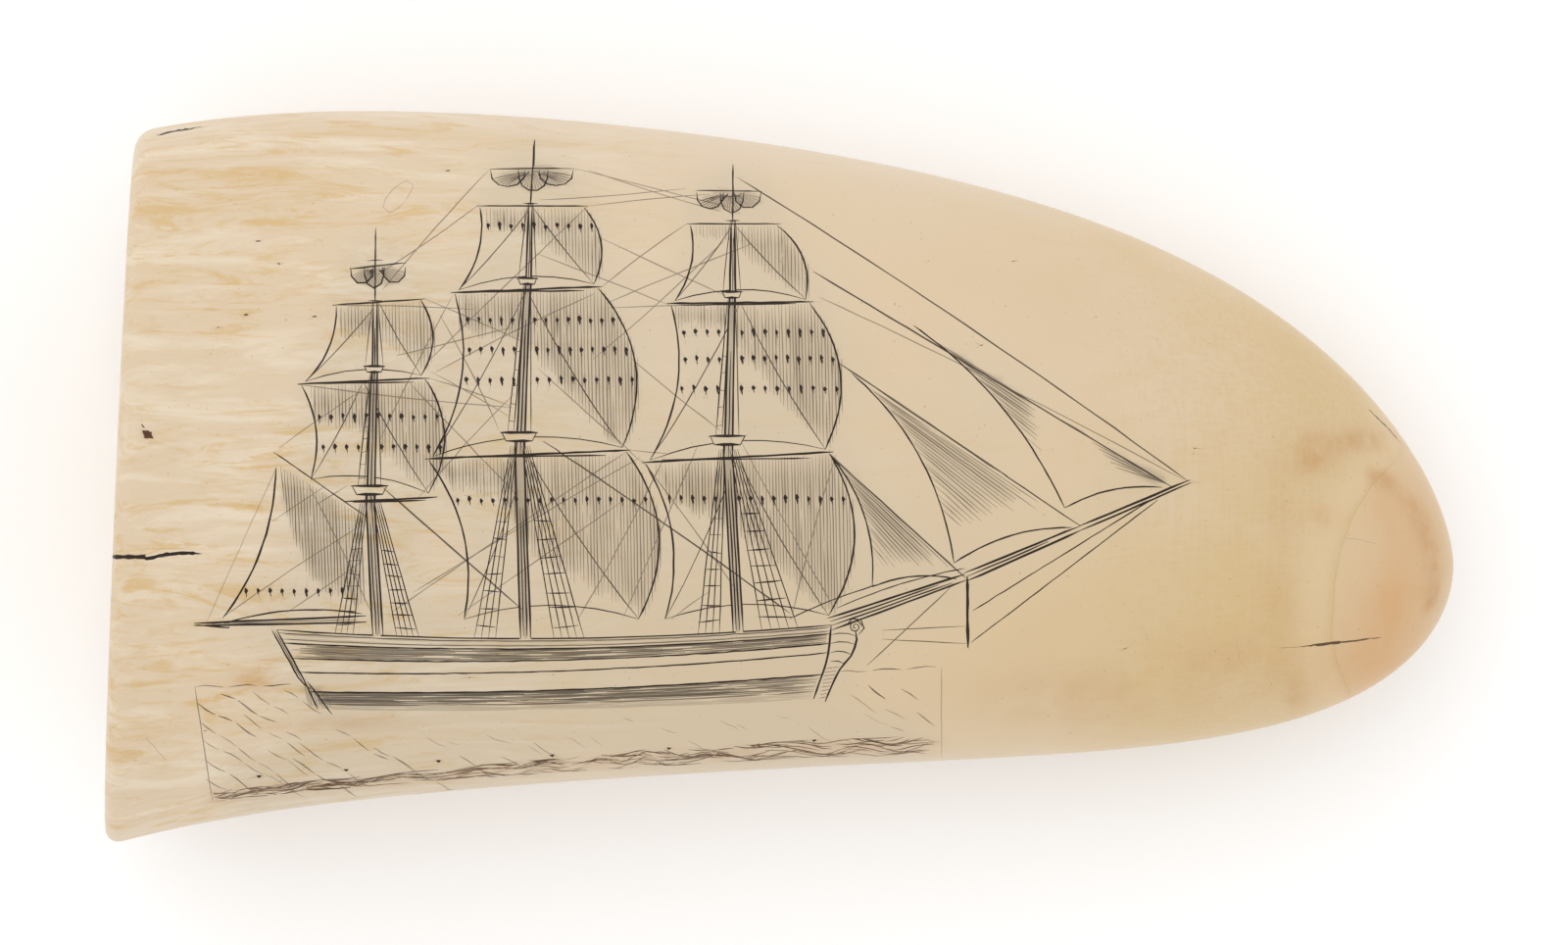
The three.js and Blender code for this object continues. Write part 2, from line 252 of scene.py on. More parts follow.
def bowed(a, b, bow, count=12):
    """Points of a line with a sideways bow, as a share of its length."""
    points = []
    for i in range(count + 1):
        share = i / count
        lift = 4 * bow * share * (1 - share)
        x, y = mix(a, b, share)
        points.append((x - (b[1] - a[1]) * lift, y + (b[0] - a[0]) * lift))
    return points


def at(points, share):
    """The place at a share of a line's stretches."""
    place = min(max(share, 0), 1) * (len(points) - 1)
    i = min(int(place), len(points) - 2)
    return mix(points[i], points[i + 1], place - i)


def hatch_line(a, b, ink, width=HATCH):
    """A fine stroke, now and then broken into two."""
    if width < SHADING_WIDTH:
        hatching.append(([a, b], width, ink))
    pieces = [(a, b)]
    if dice.random() < BREAK_CHANCE:
        gap = 0.3 + 0.4 * dice.random()
        pieces = [(a, mix(a, b, gap - BREAK_HALF)), (mix(a, b, gap + BREAK_HALF), b)]
    for piece in pieces:
        stroke(piece, width, ink, HATCH_STEP, HATCH_WOBBLE)


# The ship.
STERN = [(18, -17.8), (21.1, -23.5), (22.6, -26.8)]
STEM = [(80.4, -17.3), (80.0, -21.0), (78.4, -25.7)]
SHEER = -0.02
HULL_LINES = [  # share of the way down from the rail, width, ink
    (0, ROPE, 1.0),
    (0.03, FINE, 0.9),
    (0.09, HATCH, 0.8),
    (0.13, ROPE, 1.0),
    (0.28, ROPE, 1.0),
    (0.42, ROPE, 1.0),
    (0.7, PLAIN, 1.0),
]
HULL_BANDS = [  # from and to, as such shares, strokes in it, ink, longest stroke
    (0.03, 0.12, 3, 0.28, 0.5),
    (0.14, 0.27, 8, 0.85, 0.5),
    (0.71, 0.92, 13, 0.85, 0.5),
    (0.92, 1.0, 5, 0.3, 0.4),
]
# Each mast's heel on the rail, its platform, crosstrees, cap and truck, and its yards from the top down.
# The clews are the lowest sail's. A sail's shade is how far down its hatching reaches, at shares of its
# width, and its reefs lie at shares of its depth. The shrouds end at these places on the rail.
MASTS = [
    {
        "deck": 29.4,
        "top": (28.5, -2.1),
        "trees": (29.0, 11.5),
        "cap": (29.1, 19.2),
        "truck": (29.1, 27.4),
        "yards": [
            ((26.2, 22.8), (32.6, 23.5)),
            ((24.3, 18.7), (34.7, 19.4)),
            ((20.4, 9.8), (35.2, 10.5)),
            ((25.6, -3.4), (36.1, -2.9)),
        ],
        "clews": ((21.0, -1.2), (36.0, -2.7)),
        "shade": [[(0.45, 0), (0.45, 0.5), (0.92, 1)], [(0.28, 0), (0.46, 0.5), (1, 0.97)]],
        "ratlines": 1.43,
        "reefs": [[], [0.3, 0.58]],
        "shrouds": ((24.6, 26.6), (31.5, 34.0)),
    },
    {
        "deck": 46.0,
        "top": (45.3, 3.9),
        "trees": (46.2, 21.4),
        "cap": (46.5, 30.2),
        "truck": (46.9, 37.5),
        "yards": [
            ((41.9, 34.1), (51.4, 34.2)),
            ((40.4, 29.9), (53.0, 29.9)),
            ((37.6, 20.1), (54.6, 20.8)),
            ((34.7, 1.4), (57.8, 2.4)),
        ],
        "clews": ((38.2, -16.9), (59.6, -16.9)),
        "shade": [
            [(0.26, 0), (0.32, 0.42), (0.95, 1)],
            [(0.24, 0), (0.31, 0.4), (1, 0.95)],
            [(0.17, 0), (0.24, 0.35), (0.62, 0.5), (0.95, 1)],
        ],
        "ratlines": 1.95,
        "reefs": [[0.26], [0.18, 0.37, 0.56], [0.26]],
        "shrouds": ((40.2, 42.6), (49.2, 52.6)),
    },
    {
        "deck": 69.9,
        "top": (68.7, 3.5),
        "trees": (69.2, 19.9),
        "cap": (69.3, 28.3),
        "truck": (69.3, 34.7),
        "yards": [
            ((65.1, 31.7), (72.6, 31.6)),
            ((64.1, 27.9), (74.7, 27.9)),
            ((61.9, 18.9), (78.4, 19.1)),
            ((59.1, 1.0), (80.6, 2.2)),
        ],
        "clews": ((60.8, -16.9), (81.0, -16.5)),
        "shade": [
            [(0.16, 0), (0.2, 0.42), (0.45, 0.5), (1, 1)],
            [(0.14, 0), (0.17, 0.4), (0.34, 0.45), (1, 1)],
            [(0.2, 0), (0.36, 0.35), (0.5, 0.55), (1, 1)],
        ],
        "ratlines": 1.95,
        "reefs": [[], [0.2, 0.38, 0.58], [0.24]],
        "shrouds": ((65.4, 67.8), (72.6, 76.6)),
    },
]
YARD_ARM = 0.9
LEFT_BOW = 0.11
RIGHT_BOW = 0.158
FOOT_BOW = 0.08
HATCH_GAP = 0.375
HATCH_INK = 0.8
REEF_GAP = 1.25
REEF_TIE = 0.95
REEF_KNOT = 0.46
LOWER_MAST = {"wide": 1.15, "narrow": 0.95, "lines": 4}
TOP_MAST = {"wide": 0.9, "narrow": 0.65, "lines": 3}
UPPER_MAST = {"wide": 0.6, "narrow": 0.4, "lines": 3}
MAST_WASH = 0.26
TOP_SIZE = (3.9, 0.95)
TREES_SIZE = (2.1, 0.65)
GAFF = ((17.7, 2.2), (28.0, -5.0))
BOOM = ((8.8, -17.2), (28.1, -16.6))
SPANKER_SHADE = [(18.4, -3.2), (19.4, -6.5), (21.0, -11.2), (23.0, -13.2), (27.0, -15.0)]
BOWSPRIT = [(80.2, -17.2), (95.5, -11.9), (108.4, -6.4), (120.9, -1.1)]
STRIKER = ((95.7, -11.8), (95.8, -19.9))
STRIKER_GUYS = [((96.3, -15.7), (116.9, -2.9)), ((96.1, -19.3), (117.2, -3.2))]
BOW_GUYS = [((86.1, -17.9), (95.5, -17.4)), ((86.1, -18.9), (95.6, -19.4)), ((84.4, -21.9), (93.9, -13.0))]
BOWSPRIT_SHADE = [((81.0, -15.4), (95.4, -10.9), 0.03), ((75.6, -16.6), (86.0, -12.6), 0.02)]
HEADSAILS = [  # peak, tack, clew, where the shade starts on the leech, its reach, its lines
    ((80.2, 1.9), (95.5, -12.0), (85.0, -13.0), 0.0, 0.85, 15),
    ((81.1, 12.3), (108.5, -6.2), (94.2, -10.3), 0.05, 0.8, 19),
    ((78.4, 22.5), (118.7, -1.7), (106.7, -4.1), 0.3, 0.42, 12),
]
CUTWATER = [(83.1, -17.9), (83.3, -19.2), (82.6, -20.8), (81.4, -22.2), (80.4, -24.2), (79.7, -26.0)]
SCROLL = {"eye": (83.1, -17.5), "reach": 0.75, "turn": 0.55, "points": 22}
RAIL_POINTS = 40


def on_rail(x):
    """The place on the hull's rail at x."""
    return x, float(np.interp(x, *zip(*bowed(STERN[0], STEM[0], SHEER, RAIL_POINTS))))


def hull():
    def level(share, start=0.0, end=1.0):
        whole = bowed(at(STERN, share), at(STEM, share), SHEER * (1 - share / 2), RAIL_POINTS)
        return [at(whole, start + (end - start) * i / 30) for i in range(31)]

    for share, width, ink in HULL_LINES:
        stroke(level(share), width, ink)
    for low, high, count, ink, longest in HULL_BANDS:
        for i in range(count):
            share = low + (high - low) * (i + dice.random() * 0.7) / count
            start = dice.random() * 0.1 - 0.05
            while start < 1:
                end = start + longest * dice.uniform(0.3, 1)
                width = dice.choice([HATCH, FINE, FINE, ROPE]) * (1.25 - 0.35 * max(start, 0))
                piece = level(share, max(start, 0.008), min(end, 0.994))
                stroke(piece, width, ink * dice.uniform(0.7, 1), HATCH_STEP)
                start = end + 0.06 * dice.random()
    rudder()
    bow()


def rudder():
    outer = [moved(place, -0.5, 0) for place in STERN[:2]]
    stroke(STERN, ROPE)
    stroke(outer + [(21.9, -24.6)], ROPE)
    stroke([mix(a, b, 0.5) for a, b in zip(STERN[:2], outer)], HATCH, 0.8)
    for i in range(9):
        x = 21.1 + 0.3 * i
        hatch_line((x, -23.9 - 0.12 * i), (x + 0.55, -26.7 + 0.4 * dice.random()), 0.9, FINE)
    stroke([(21.4, -23.6), (22.9, -25.6), (24.2, -27.4)], ROPE)


def bow():
    """Stem, cutwater and the scroll on top of it."""
    stroke(STEM, PLAIN)
    stroke(CUTWATER, PLAIN)
    for i in range(4):
        stroke(bowed((80.3, -18.4 - 1.0 * i), at(CUTWATER, 0.1 + 0.14 * i), 0.1), FINE)
    for i in range(9):
        y = -22.2 - 0.42 * i
        hatch_line((79.8 - 0.08 * i, y), (81.1 - 0.17 * i, y + 0.15), 1.0, ROPE)
    scroll = []
    for i in range(SCROLL["points"]):
        reach = SCROLL["reach"] * (1 - i / 26)
        turn = i * SCROLL["turn"]
        scroll.append(moved(SCROLL["eye"], reach * math.cos(turn), reach * math.sin(turn)))
    stroke(scroll, FINE, 1.0, 0.3, 0.0)
    stroke([moved(SCROLL["eye"], math.cos(a), math.sin(a)) for a in np.linspace(-1.2, 3.0, 9)], ROPE)


def crossings(outline, x):
    """The highest and lowest places where an upright line at x crosses a closed outline."""
    heights = []
    for (ax, ay), (bx, by) in zip(outline, outline[1:] + outline[:1]):
        if (ax - x) * (bx - x) < 0:
            heights.append(ay + (by - ay) * (x - ax) / (bx - ax))
    return (max(heights), min(heights)) if heights else None


def square_sail(head, clews, shade, reefs):
    """A sail under its yard, head, with its hatching and its rows of reef points."""
    inside = YARD_ARM / 2
    (hl, hr), (cl, cr) = head, clews
    left = bowed((hl[0] + inside, hl[1] - 0.15), (cl[0] + YARD_ARM, cl[1] + 0.3), LEFT_BOW)
    right = bowed((hr[0] - inside, hr[1] - 0.15), (cr[0] - YARD_ARM, cr[1] + 0.3), RIGHT_BOW)
    foot = bowed(left[-1], right[-1], FOOT_BOW)
    stroke(left, LEECH)
    stroke(right, LEECH)
    stroke(foot, FINE)
    outline = left + foot[1:] + right[::-1][1:]
    depths, turns = zip(*shade)
    x_from, x_to = left[0][0] - 3, max(x for x, _ in right)
    x = x_from + HATCH_GAP
    while x < x_to - 0.2:
        ends = crossings(outline, x)
        x += HATCH_GAP * dice.uniform(0.85, 1.15)
        if not ends or x < min(px for px, _ in left[:5]) + 0.2:
            continue
        high, low = ends
        across = (x - hl[0]) / (right[-1][0] - hl[0])
        reach = min(float(np.interp(across, turns, depths)) + dice.uniform(-0.04, 0.03), 0.985)
        end = max(hl[1] - reach * (hl[1] - clews[1][1]), low + 0.15)
        start = high - (dice.uniform(0, 0.8) if dice.random() < 0.25 else 0.1)
        if start - end > 0.8:
            lean = 0.02 * (start - end)
            bold = 1.0 if across < 0.45 else 0.85
            width = HATCH * dice.uniform(0.85, 1.2)
            hatch_line((x, start), (x + lean, end), HATCH_INK * bold * dice.uniform(0.75, 1), width)
    for share in reefs:
        y = hl[1] - share * (hl[1] - clews[1][1])
        a, b = at(left, share)[0] + 0.7, at(right, share)[0] - 0.5
        row = int((b - a) / REEF_GAP)
        for i in range(row + 1):
            reef_point(a + (b - a) * i / row, y + dice.uniform(-0.12, 0.12))
    return left, right


def reef_point(x, y):
    """A knot with its tail hanging down."""
    tall = REEF_TIE * dice.uniform(0.8, 1.15)
    knot = [(x - 0.05, y + tall * 0.5), (x + 0.04, y + tall * 0.2), (x, y - tall * 0.15)]
    stroke(knot, REEF_KNOT, 1.0, 0.4)
    stroke([(x + 0.04, y + tall * 0.1), (x + 0.08, y - tall * 0.5)], PLAIN, 1.0, 0.6)


def furled_royal(yard, mast_x):
    """The topmost sail, tied up in three bunches under its yard."""
    left, right = yard
    wide = 0.42 * (right[0] - left[0])
    lobes = [
        (left[0] + 0.1, left[0] + wide, 1.9),
        (mast_x - 0.42 * wide, mast_x + 0.42 * wide, 2.4),
        (right[0] - wide, right[0] - 0.1, 1.8),
    ]
    for x0, x1, deep in lobes:
        y = mix(left, right, 0.5)[1] - 0.15
        middle, half = (x0 + x1) / 2, (x1 - x0) / 2
        turns = np.linspace(0.0, math.pi, 15)
        edge = [(middle - half * math.cos(a), y - deep * math.sin(a) ** 0.7) for a in turns]
        stroke(edge, ROPE)
        hub = (mast_x + (0.3 if middle > mast_x else -0.3), y)
        for k in range(2, 14):
            end = mix(hub, edge[k], 0.96)
            hatch_line(mix(hub, end, 0.2), end, 1.0, FINE)


def spar(a, b, wide_a, wide_b, lines, ink=1.0):
    """A round timber seen from the side: two firm edges and long strokes that run between them."""
    run = math.hypot(b[0] - a[0], b[1] - a[1])
    nx, ny = -(b[1] - a[1]) / run, (b[0] - a[0]) / run
    for i in range(lines):
        off = i / (lines - 1) - 0.5
        start = (a[0] + nx * wide_a * off, a[1] + ny * wide_a * off)
        end = (b[0] + nx * wide_b * off, b[1] + ny * wide_b * off)
        if i in (0, lines - 1):
            stroke([start, end], EDGE, ink, 2.0)
        else:
            reach = dice.uniform(0.55, 1.0)
            hatch_line(mix(start, end, 0.01), mix(start, end, reach), ink, dice.choice([FINE, ROPE]))


def platform(place, width, height):
    """A tray-shaped landing on a mast, in front of what was drawn before."""
    x, y = place
    half = width / 2
    high, low, short = y + height / 2, y - height / 2, half * 0.76
    cover([(x - short, low), (x + short, low), (x + half, high), (x - half, high)])
    lines = [((x - half - 0.15, high), (x + half + 0.15, high))]
    lines += [((x + end * half, high), (x + end * short, low)) for end in (-1, 1)]
    for line in [*lines, ((x - short, low), (x + short, low))]:
        stroke(line, PLATFORM_LINE)


def ladder(heads, feet, ropes, gap):
    """Shrouds and the ratlines across them."""
    sides = []
    for i in range(ropes):
        share = i / (ropes - 1)
        head, foot = mix(*heads, share), mix(*feet, share)
        stroke([head, foot], FINE, 1.0, HATCH_STEP)
        sides.append((head, foot))
    height = heads[0][1] - feet[0][1]
    rungs = int(height * 0.7 / gap)
    for i in range(rungs):
        share = 1 - (i + 0.7) * gap / height
        a = mix(*sides[0], share + dice.uniform(-0.01, 0.01))
        b = mix(*sides[-1], share + dice.uniform(-0.01, 0.01))
        stroke([mix(a, b, dice.uniform(-0.05, 0.05)), mix(a, b, dice.uniform(0.93, 1.03))], ROPE, 1.0, 1.5)


def mast(spec):
    """A mast with its sails, yards, platforms, shrouds and stays."""
    top, trees, cap, truck = (spec[k] for k in ("top", "trees", "cap", "truck"))
    deck = on_rail(spec["deck"])
    royal, *working = spec["yards"]
    sails = len(spec["shade"])
    for i in range(sails):
        foot = working[i + 1] if i + 1 < sails else spec["clews"]
        left, right = square_sail(working[i], foot, spec["shade"][i], spec["reefs"][i])
        hub = mix(*working[i], 0.5)
        stroke(bowed(hub, left[-1], 0.02), HATCH, 0.9, HATCH_STEP)
        stroke(bowed(hub, right[-1], -0.02), FINE, 0.9, HATCH_STEP)
    furled_royal(royal, truck[0] - 0.1)
    heel, upper_heel = moved(top, 0.1, -2.4), moved(trees, 0.1, -1.5)
    timbers = ((deck, top, LOWER_MAST), (heel, trees, TOP_MAST), (upper_heel, cap, UPPER_MAST))
    for low, high, size in timbers:
        foot, head = size["wide"] / 2, size["narrow"] / 2
        cover([moved(low, -foot, 0), moved(low, foot, 0), moved(high, head, 0), moved(high, -head, 0)])
    stroke([deck, top], 1.0, MAST_WASH, HATCH_STEP, 0)
    stroke([heel, trees], 0.75, MAST_WASH, HATCH_STEP, 0)
    for low, high, size in timbers:
        spar(low, high, size["wide"], size["narrow"], size["lines"])
    stroke([moved(cap, 0, -0.4), truck], ROPE)
    stroke([moved(truck, 0, -3.2), truck], FINE)
    stroke([moved(cap, -0.8, 0), moved(cap, 0.8, 0)], ROPE)
    stroke([moved(truck, -0.9, -3.7), moved(truck, 0.9, -3.6)], FINE)
    for i, (a, b) in enumerate(spec["yards"]):
        stroke([a, b], ROPE if i < 2 else PLAIN, 1.0, 1.6)
        stroke([mix(a, b, 0.04), mix(a, b, 0.9)], FINE, 1.0, 1.6)
        if i >= 2:
            y = mix(a, b, 0.5)[1]
            stroke([(mix(a, b, 0.1)[0], y - 0.3), (mix(a, b, 0.88)[0], y - 0.1)], ROPE, 1.0, 2)
    left_feet, right_feet = ([on_rail(x) for x in pair] for pair in spec["shrouds"])
    gap = spec["ratlines"]
    ladder((moved(top, -0.9, -1.0), moved(top, -0.3, -1.0)), left_feet, 4, gap)
    ladder((moved(top, 0.3, -1.0), moved(top, 1.1, -1.0)), right_feet, 5, gap)
    upper_feet = moved(top, -1.3, 0.4), moved(top, -0.6, 0.4)
    ladder((moved(trees, -0.5, -0.6), moved(trees, -0.25, -0.6)), upper_feet, 2, gap)
    stroke([moved(trees, 0.4, -0.6), moved(top, 1.3, 0.4)], FINE, 0.9, HATCH_STEP)
    stroke([moved(cap, 0.3, 0), moved(trees, 1.0, 0.3)], HATCH, 0.9, HATCH_STEP)
    stroke([moved(cap, -0.3, 0), moved(trees, -1.0, 0.3)], HATCH, 0.9, HATCH_STEP)
    platform(top, *TOP_SIZE)
    platform(trees, *TREES_SIZE)


# Braces and stays, each from its aft end to its fore end: x and y, x and y.
ROPES = [
    (48.0, 3.4, 75.8, -16.0), (30.1, -1.9, 45.7, -15.6), (57.8, 12.8, 67.9, 4.6),
    (29.9, 20.4, 41.9, 34.1), (34.7, 19.4, 45.9, 14.5), (35.2, 10.5, 44.2, 7.4),
    (24.3, 18.7, 40.2, 18.2), (20.4, 9.8, 44.5, 7.2), (36.0, 11.2, 53.8, 20.0),
    (34.9, 12.2, 53.0, 29.9), (36.4, 17.6, 43.0, 4.8), (35.4, 11.2, 44.0, 6.3),
    (51.4, 34.2, 68.9, 29.8), (53.0, 34.0, 68.0, 29.3), (53.0, 29.9, 66.8, 31.3),
    (47.6, 30.6, 64.1, 31.9), (54.6, 20.8, 64.1, 27.9), (55.0, 18.9, 71.4, 25.6),
    (54.6, 26.2, 68.4, 19.8), (57.8, 2.4, 61.9, 2.0), (55.2, 18.4, 78.4, 19.1),
    (33.4, -13.6, 58.9, 1.6), (31.0, -15.8, 57.2, 2.2), (22.4, -3.8, 26.0, -1.6),
    (18.3, 2.6, 28.1, 9.4), (17.6, -5.6, 23.6, -1.6), (12.0, -16.4, 27.7, -6.0),
    (19.0, -16.0, 27.9, -9.9), (69.8, 33.2, 120.6, -1.1), (79.1, 19.6, 120.2, -1.0),
    (57.0, -16.4, 65.4, 3.0), (62.4, -16.6, 66.5, -13.6), (76.0, -16.2, 80.9, 1.9),
    (29.4, 22.2, 40.8, 30.1), (31.5, 13.0, 44.6, 16.2), (33.0, 9.9, 45.0, -2.6),
    (34.0, -2.9, 44.8, 8.8), (21.6, -1.4, 28.8, -16.2), (29.6, 3.4, 37.8, 19.8),
    (47.0, 24.6, 62.2, 18.7), (47.4, 11.6, 59.4, 0.8), (53.6, 12.6, 68.3, 26.0),
    (51.8, -16.8, 61.6, 1.6), (59.0, 1.4, 70.0, -13.8), (70.2, 3.4, 80.6, -15.2),
    (38.4, -16.2, 56.8, -3.4),
]
HEAVY_ROPES = [ROPES[0], ROPES[1], ROPES[28]]  # the main and the outer stays


def fore_and_aft():
    """The spanker on the aft mast, the bowsprit, the headsails and the ropes."""
    peak, throat = GAFF
    clew = mix(*BOOM, 0.17)
    leech = bowed((18.0, 0.4), (12.0, -16.5), LEFT_BOW * 0.75)
    stroke([peak, throat], FINE)
    stroke(leech, PLAIN)
    stroke([(18.0, 0.4), (10.2, -16.9)], FINE, 0.35)
    stroke(bowed(clew, (27.6, -16.0), 0.06), ROPE)
    spar(BOOM[0], BOOM[1], 0.3, 0.7, 2)
    stroke([mix(*BOOM, 0.1), mix(*BOOM, 0.95)], HATCH, 0.8, HATCH_STEP)
    stroke([(8.8, -17.2), (13.0, -17.6), (12.6, -17.0)], ROPE)
    columns = 26
    for i in range(columns):
        u = (i + 0.7) / (columns + 1)
        top = mix((18.3, 0.9), throat, u)
        end_y = float(np.interp(top[0], *zip(*SPANKER_SHADE))) + dice.uniform(-0.5, 0.5)
        hatch_line((top[0], top[1] - 0.2), (top[0] + 0.35, min(end_y, top[1] - 1)), dice.uniform(0.6, 0.85))
    for i in range(9):
        reef_point(14.6 + 1.35 * i, -13.6 + 0.05 * math.sin(i))
    for i, (a, b) in enumerate(zip(BOWSPRIT, BOWSPRIT[1:])):
        spar(a, b, 1.4 - 0.45 * i, 0.7 - 0.2 * i, 4 - i)
    for line in BOWSPRIT_SHADE:
        stroke(bowed(*line), FINE)
    stroke(STRIKER, BOLD)
    for guy in STRIKER_GUYS:
        stroke(guy, FINE)
    for guy in BOW_GUYS:
        stroke(guy, FINE, 0.8, HATCH_STEP)
    for sail in HEADSAILS:
        headsail(*sail)
    peak, tack, *_ = HEADSAILS[-1]
    for i in range(6):
        hatch_line(mix(mix(peak, tack, 0.76 + 0.02 * i), BOWSPRIT[2], 0.03 * i), mix(peak, tack, 0.985), 0.7)
    for rope in ROPES:
        width, ink = (ROPE, 0.85) if rope in HEAVY_ROPES else (FINE, 0.6)
        stroke(bowed(rope[:2], rope[2:], dice.uniform(-0.012, 0.012)), width, ink, HATCH_STEP)


def headsail(peak, tack, clew, shaded_from, reach, rows):
    """A three-cornered sail on a stay, shaded from its leech towards its tack."""
    leech = bowed(mix(peak, tack, 0.02), clew, LEFT_BOW * 0.9)
    stroke([peak, tack], ROPE, 0.9, HATCH_STEP)
    stroke([peak, tack], FINE, 0.6, HATCH_STEP, 0.06)
    stroke([at(leech, shaded_from + (1 - shaded_from) * i / 12) for i in range(13)], ROPE)
    stroke(bowed(clew, (tack[0] - 1.0, tack[1] - 0.1), FOOT_BOW), ROPE)
    for i in range(1, rows):
        f = i / rows
        start = at(leech, shaded_from + (0.78 - shaded_from) * f + dice.uniform(0, 0.03))
        end = mix(mix(tack, peak, 0.02), at(leech, 0.86), f * 0.92)
        far = mix(start, end, reach * dice.uniform(0.95, 1.12))
        hatch_line(mix(start, end, 0.03), far, dice.uniform(0.5, 0.85))


# The panel of sea.
SEA_CORNERS = [(8.8, -24.2), (10.6, -37.2), (92.9, -32.5), (92.8, -22.0)]
SEA_BREAK = ((20.2, -24.0), (81.2, -22.6))
SEA_BED = [
    (10.6, -36.2), (22.0, -34.9), (39.7, -33.3), (52.0, -32.2), (62.4, -31.2), (78.0, -30.4), (92.0, -29.9),
]
SEA_FOOT = [
    (10.9, -37.3), (22.0, -36.0), (39.7, -34.7), (52.0, -33.8), (62.4, -33.2), (78.0, -32.3), (92.0, -32.0),
]
SEA_MIDDLE = [mix(a, b, 0.5) for a, b in zip(SEA_BED, SEA_FOOT)]
WAVES = [  # where each starts, and its length
    (11.6, -24.8, 7.5), (15.4, -24.9, 5.2), (18.8, -24.6, 5.0), (9.2, -26.2, 7.4), (9.4, -28.2, 13.0),
    (9.6, -30.2, 13.5), (9.8, -32.4, 7.0), (9.9, -34.6, 3.4), (19.0, -29.4, 2.4), (20.6, -30.9, 9.4),
    (19.8, -32.6, 8.4), (28.8, -31.0, 11.0), (38.5, -32.3, 5.0), (43.0, -32.0, 3.6), (84.6, -24.2, 3.0),
    (88.3, -24.6, 2.8), (90.2, -27.4, 2.2), (87.0, -28.6, 2.2), (14.4, -27.6, 8.6), (24.6, -29.0, 7.4),
    (16.8, -31.2, 6.0), (46.8, -30.6, 4.2), (82.6, -25.4, 4.4), (86.4, -26.6, 3.4),
]
WAVE_SWAY = 0.28
FAINT_WAVES = 16
BED_STROKES = 270
BUBBLES = [(15.9, -34.4), (25.7, -33.7), (36.1, -32.7), (48.9, -32.1), (62.1, -31.3), (78.5, -30.4)]


def wave(start, length, slope, width, ink, parts):
    """A wavy stroke down to the right, broken where the graver slipped."""
    points = []
    for i in range(17):
        d = length * i / 16
        sway = WAVE_SWAY * math.sin(d * 1.15 + start[0])
        points.append(moved(start, d * math.cos(slope) - sway * math.sin(slope), sway - d * math.sin(slope)))
    for k in range(parts):
        a, b = k / parts, (k + dice.uniform(0.7, 0.95)) / parts
        stroke([at(points, a + (b - a) * j / 6) for j in range(7)], width, ink * dice.uniform(0.6, 1), 1.2)


def sea():
    """The panel's edges, the waves in it and the bundle of wavy strokes along its foot."""
    top_left, bottom_left, bottom_right, top_right = SEA_CORNERS
    stroke([top_left, mix(top_left, bottom_left, 0.55), bottom_left], FINE, 0.6, 2.0)
    stroke([top_right, bottom_right], FINE, 0.4, 2.0)
    for start, end in ((top_left, SEA_BREAK[0]), (SEA_BREAK[1], top_right)):
        edge = [(x, y + 0.13 * math.sin(x * 1.4)) for x, y in bowed(start, end, 0, 24)]
        for k in range(3):
            stroke([at(edge, (k + 0.28 * j) / 3) for j in range(4)], FINE, dice.uniform(0.6, 0.95))
    for x, y, length in WAVES:
        slope, width = dice.uniform(0.5, 0.62), dice.choice([FINE, FINE, ROPE])
        wave((x, y), length, slope, width, 0.8, max(int(length / 2.4), 1))
    for i in range(FAINT_WAVES):
        x = 34 + 3.3 * i + dice.uniform(-1, 1)
        y = -28.5 + 0.03 * (x - 34) - dice.uniform(0, 3.2)
        wave((x, y), dice.uniform(1.5, 3.6), dice.uniform(0.35, 0.6), FINE, 0.4, 1)
    for i in range(BED_STROKES):
        u = dice.uniform(-0.04, 0.97)
        v = dice.random()
        reach = dice.uniform(0.015, 0.07)
        drop = dice.uniform(-0.35, 0.4)
        phase = dice.uniform(-0.8, 0.8)
        line = []
        for k in range(9):
            place = min(max(u + reach * k / 8, 0), 1)
            low = min(max(v + drop * k / 8 + 0.12 * math.sin(place * 68 + phase), 0), 1)
            line.append(mix(at(SEA_BED, place), at(SEA_FOOT, place), low))
        if line[-1][0] - line[0][0] > 0.6:
            stroke(line, dice.choice([ROPE, ROPE, PLAIN]), dice.uniform(0.55, 1), 1.5, 0.02)
    for x, y in BUBBLES:
        stroke([(x - 0.25, y), (x + 0.25, y)], REEF_KNOT, 1.0, 0.2, 0.0)


